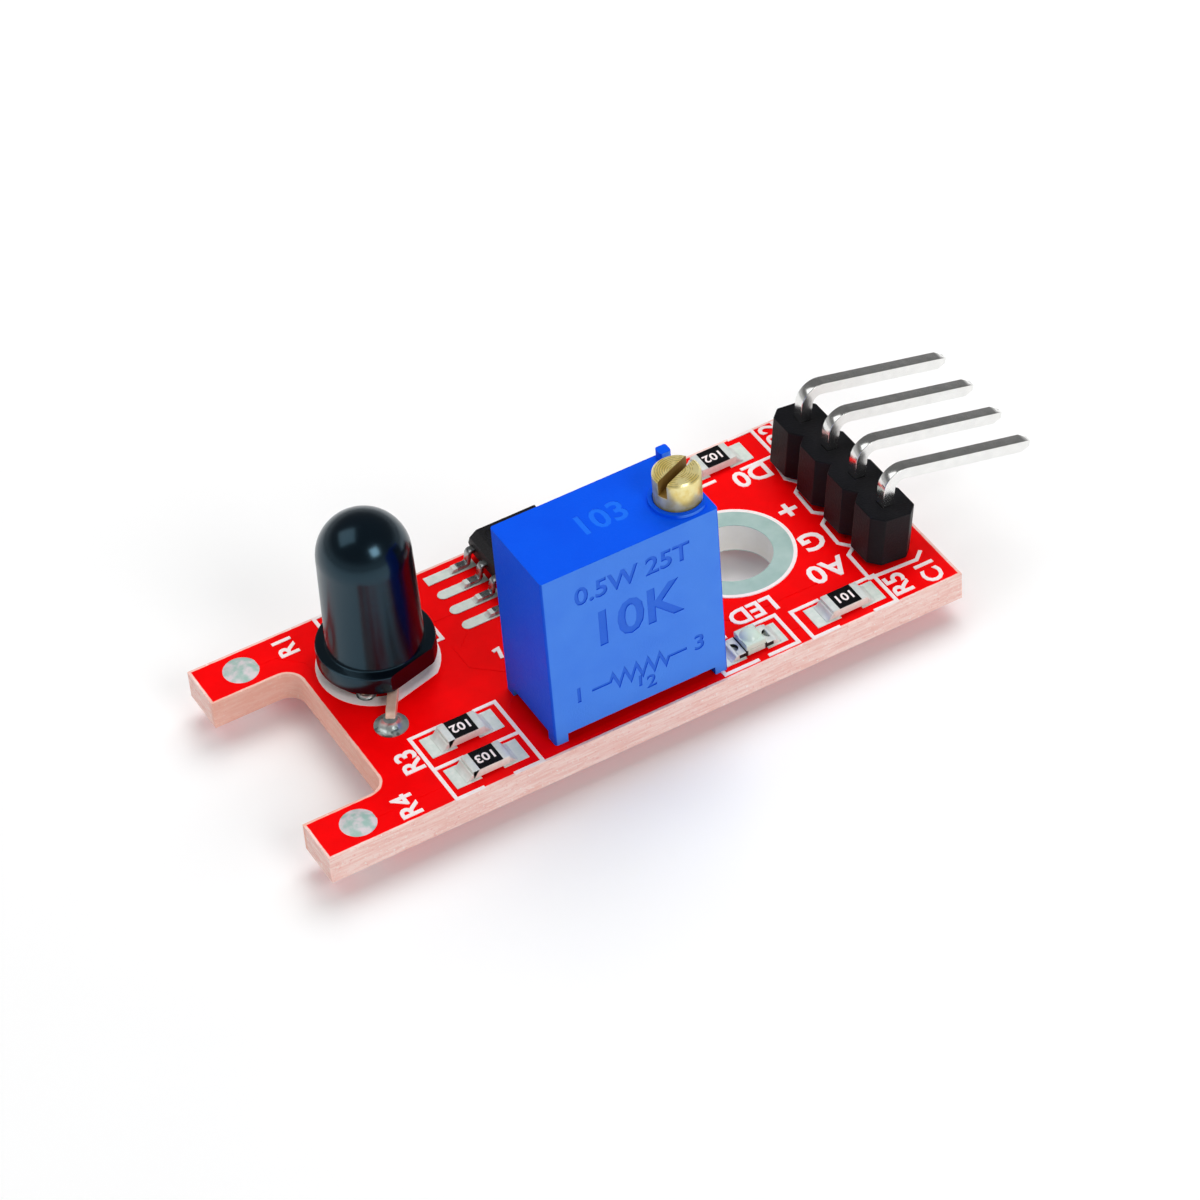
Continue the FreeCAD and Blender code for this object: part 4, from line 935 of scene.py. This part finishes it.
def choose(piece, test):
    """Opens a piece for editing with only the points that pass the test picked."""
    alone(piece)
    bpy.ops.object.mode_set(mode="EDIT")
    bpy.ops.mesh.select_mode(type="VERT")
    bpy.ops.mesh.select_all(action="DESELECT")
    bpy.ops.object.mode_set(mode="OBJECT")
    for vertex in piece.data.vertices:
        vertex.select = test(vertex.co)
    bpy.ops.object.mode_set(mode="EDIT")


def slope(x, y, side, width, height):
    """One small fillet of solder, against an upright face at x."""
    bpy.ops.object.select_all(action="DESELECT")
    bpy.ops.mesh.primitive_cube_add(size=1)
    piece = bpy.context.object
    piece.dimensions = ((slope_length + slope_sink) * mm, width * mm, (height + slope_sink) * mm)
    alone(piece)
    bpy.ops.object.transform_apply(location=True, rotation=True, scale=True)
    choose(piece, lambda point: point.x > 0 and point.z > 0)
    bpy.ops.mesh.bevel(offset=0.96 * height * mm, segments=6, profile=slope_hollow, affect="EDGES")
    bpy.ops.mesh.select_all(action="SELECT")
    bpy.ops.mesh.bevel(offset=slope_softness * mm, segments=2, affect="EDGES")
    bpy.ops.object.mode_set(mode="OBJECT")
    bpy.ops.object.shade_smooth_by_angle(angle=math.radians(60))
    if side < 0:
        piece.rotation_euler = (0, 0, math.pi)
    middle_height = pad_top + (height - slope_sink) / 2
    piece.location = Vector((x + side * (slope_length - slope_sink) / 2, y, middle_height)) * mm
    bpy.ops.object.transform_apply(location=True, rotation=True, scale=True)
    return piece


slopes = []
chips = [(f"resistor_{number}_caps", resistor_climb) for number in codes]
chips += [(f"{lamp}_terminals", indicator_climb) for lamp in ("power_indicator", "output_indicator")]
for node, climb in chips:
    low, high = (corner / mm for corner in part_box(node))
    for side, x in ((-1, low.x), (1, high.x)):
        slopes.append(slope(x, (low.y + high.y) / 2, side, high.y - low.y, climb))
for number in lead_numbers:
    low, high = (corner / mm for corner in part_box(f"comparator_lead_{number}"))
    side = -1 if number <= leads_on_left else 1
    toe = low.x if side < 0 else high.x
    slopes.append(slope(toe, (low.y + high.y) / 2, side, high.y - low.y, toe_climb))
settle(gather(slopes), "chip_fillets", chip_caps, body_of_module, ("chip_solder",))

# The header is a strip of four eight-sided cells of black nylon, pressed over square tinned pins
# that are bent over past the board's end. It leans a little, as it was soldered in.
moulding = Finish("header_nylon", specular_ior_level=0.2)
cloud = moulding.noise(0.8, 3.0)
moulding.paint(moulding.mix(cloud, rgb(6, 6, 9), rgb(18, 18, 24)), moulding.noise(8.0, 2.0) * 0.2 + 0.4)
moulding.bump(moulding.noise(10.0, 2.0), 0.012)
dress("header_body", "header_strip", moulding, body_of_module, 0.07, 2)
for number in range(1, 5):
    dress(f"header_pin_{number}", f"square_pin_{number}", plated, body_of_module, 0.03)
solder_low, solder_high = (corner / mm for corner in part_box("header_solder"))
header_x = (solder_low.x + solder_high.x) / 2
header_span = solder_high.y - joint_pad_radius
header_places = [(header_x, header_span * share) for share in (1, 1 / 3, -1 / 3, -1)]
header_hole = 0.6
round_square_pin = 0.47
joints("header_solder", "header_joints", header_places, header_hole, round_square_pin, flush_rise, tail_rise)

# The floor is a plain white sheet. A little light of its own makes it white to the camera and in
# reflections, and it keeps the module's soft shadow.
floor_half = 1000 * mm
bpy.ops.object.select_all(action="DESELECT")
bpy.ops.mesh.primitive_plane_add(size=2 * floor_half, location=(view_middle.x, view_middle.y, cad_box[0].z))
floor = bpy.context.object
floor.name = "studio_floor"
paper = Finish("white_paper", specular_ior_level=0.1)
paper_colour = paper.mix(paper.noise(0.05, 2.0), rgb(240, 240, 240), rgb(244, 244, 244))
paper.paint(paper_colour, paper.noise(0.3) * 0.1 + 0.8)
lift = 0.12
seen = paper.node("ShaderNodeLightPath", None, (), "Is Camera Ray")
mirrored = paper.node("ShaderNodeLightPath", None, (), "Is Glossy Ray")
through = paper.node("ShaderNodeLightPath", None, (), "Is Transmission Ray")
shown = seen.maths("MAXIMUM", mirrored).maths("MAXIMUM", through)
glow = paper.node("ShaderNodeEmission", None, {"Color": (1, 1, 1, 1), "Strength": shown * lift})
both = paper.node("ShaderNodeAddShader", None, (Wire(paper, paper.surface.outputs[0]), glow))
paper.join(both, paper.tree.nodes["Material Output"].inputs["Surface"])
floor.data.materials.append(paper.material)

# Five soft square lamps stand round the module. A lamp's share is the light that it lays on a level
# surface, where a white one with a share of 1 is white. The last value says if it shows in gloss.
lamp_distance = 320 * mm
lamp_plan = [
    ("overhead_lamp", 132, 62, 250 * mm, 0.64, False),
    ("front_lamp", 10, 40, 110 * mm, 0.16, True),
    ("far_left_lamp", -121, 58, 200 * mm, 0.14, True),
    ("low_front_lamp", 10, 14, 220 * mm, 0.04, False),
    ("low_left_lamp", -105, 14, 220 * mm, 0.03, False),
]
for name, azimuth, elevation, side, share, mirrored_too in lamp_plan:
    turn = math.radians(azimuth)
    lift_angle = math.radians(elevation)
    away = Vector((math.sin(turn) * math.cos(lift_angle), -math.cos(turn) * math.cos(lift_angle),
                   math.sin(lift_angle)))
    bpy.ops.object.light_add(type="AREA", location=view_middle + away * lamp_distance)
    lamp = bpy.context.object
    lamp.name = name
    lamp.rotation_euler = away.to_track_quat("Z", "Y").to_euler()
    lamp.visible_glossy = mirrored_too
    lamp.data.size = side
    lamp.data.energy = share * math.pi ** 2 * lamp_distance ** 2 / math.sin(lift_angle)

# The room round the module is pale at the level of its walls and darker overhead, so that upright
# faces get soft light and the top of the dome stays black.
room = bpy.data.worlds.new("pale_room")
bpy.context.scene.world = room
room.use_nodes = True
nodes = room.node_tree.nodes
links = room.node_tree.links
wall_end = 0.12
ceiling_start = 0.42
wall_light = 0.5
ceiling_light = 0.14
way = nodes.new("ShaderNodeTexCoord")
height_of_way = nodes.new("ShaderNodeSeparateXYZ")
fade = nodes.new("ShaderNodeMapRange")
fade.interpolation_type = "SMOOTHSTEP"
fade.inputs["From Min"].default_value = wall_end
fade.inputs["From Max"].default_value = ceiling_start
fade.inputs["To Min"].default_value = wall_light
fade.inputs["To Max"].default_value = ceiling_light
links.new(way.outputs["Generated"], height_of_way.inputs[0])
links.new(height_of_way.outputs["Z"], fade.inputs["Value"])
links.new(fade.outputs["Result"], nodes["Background"].inputs["Strength"])
nodes["Background"].inputs["Color"].default_value = (1, 1, 1, 1)
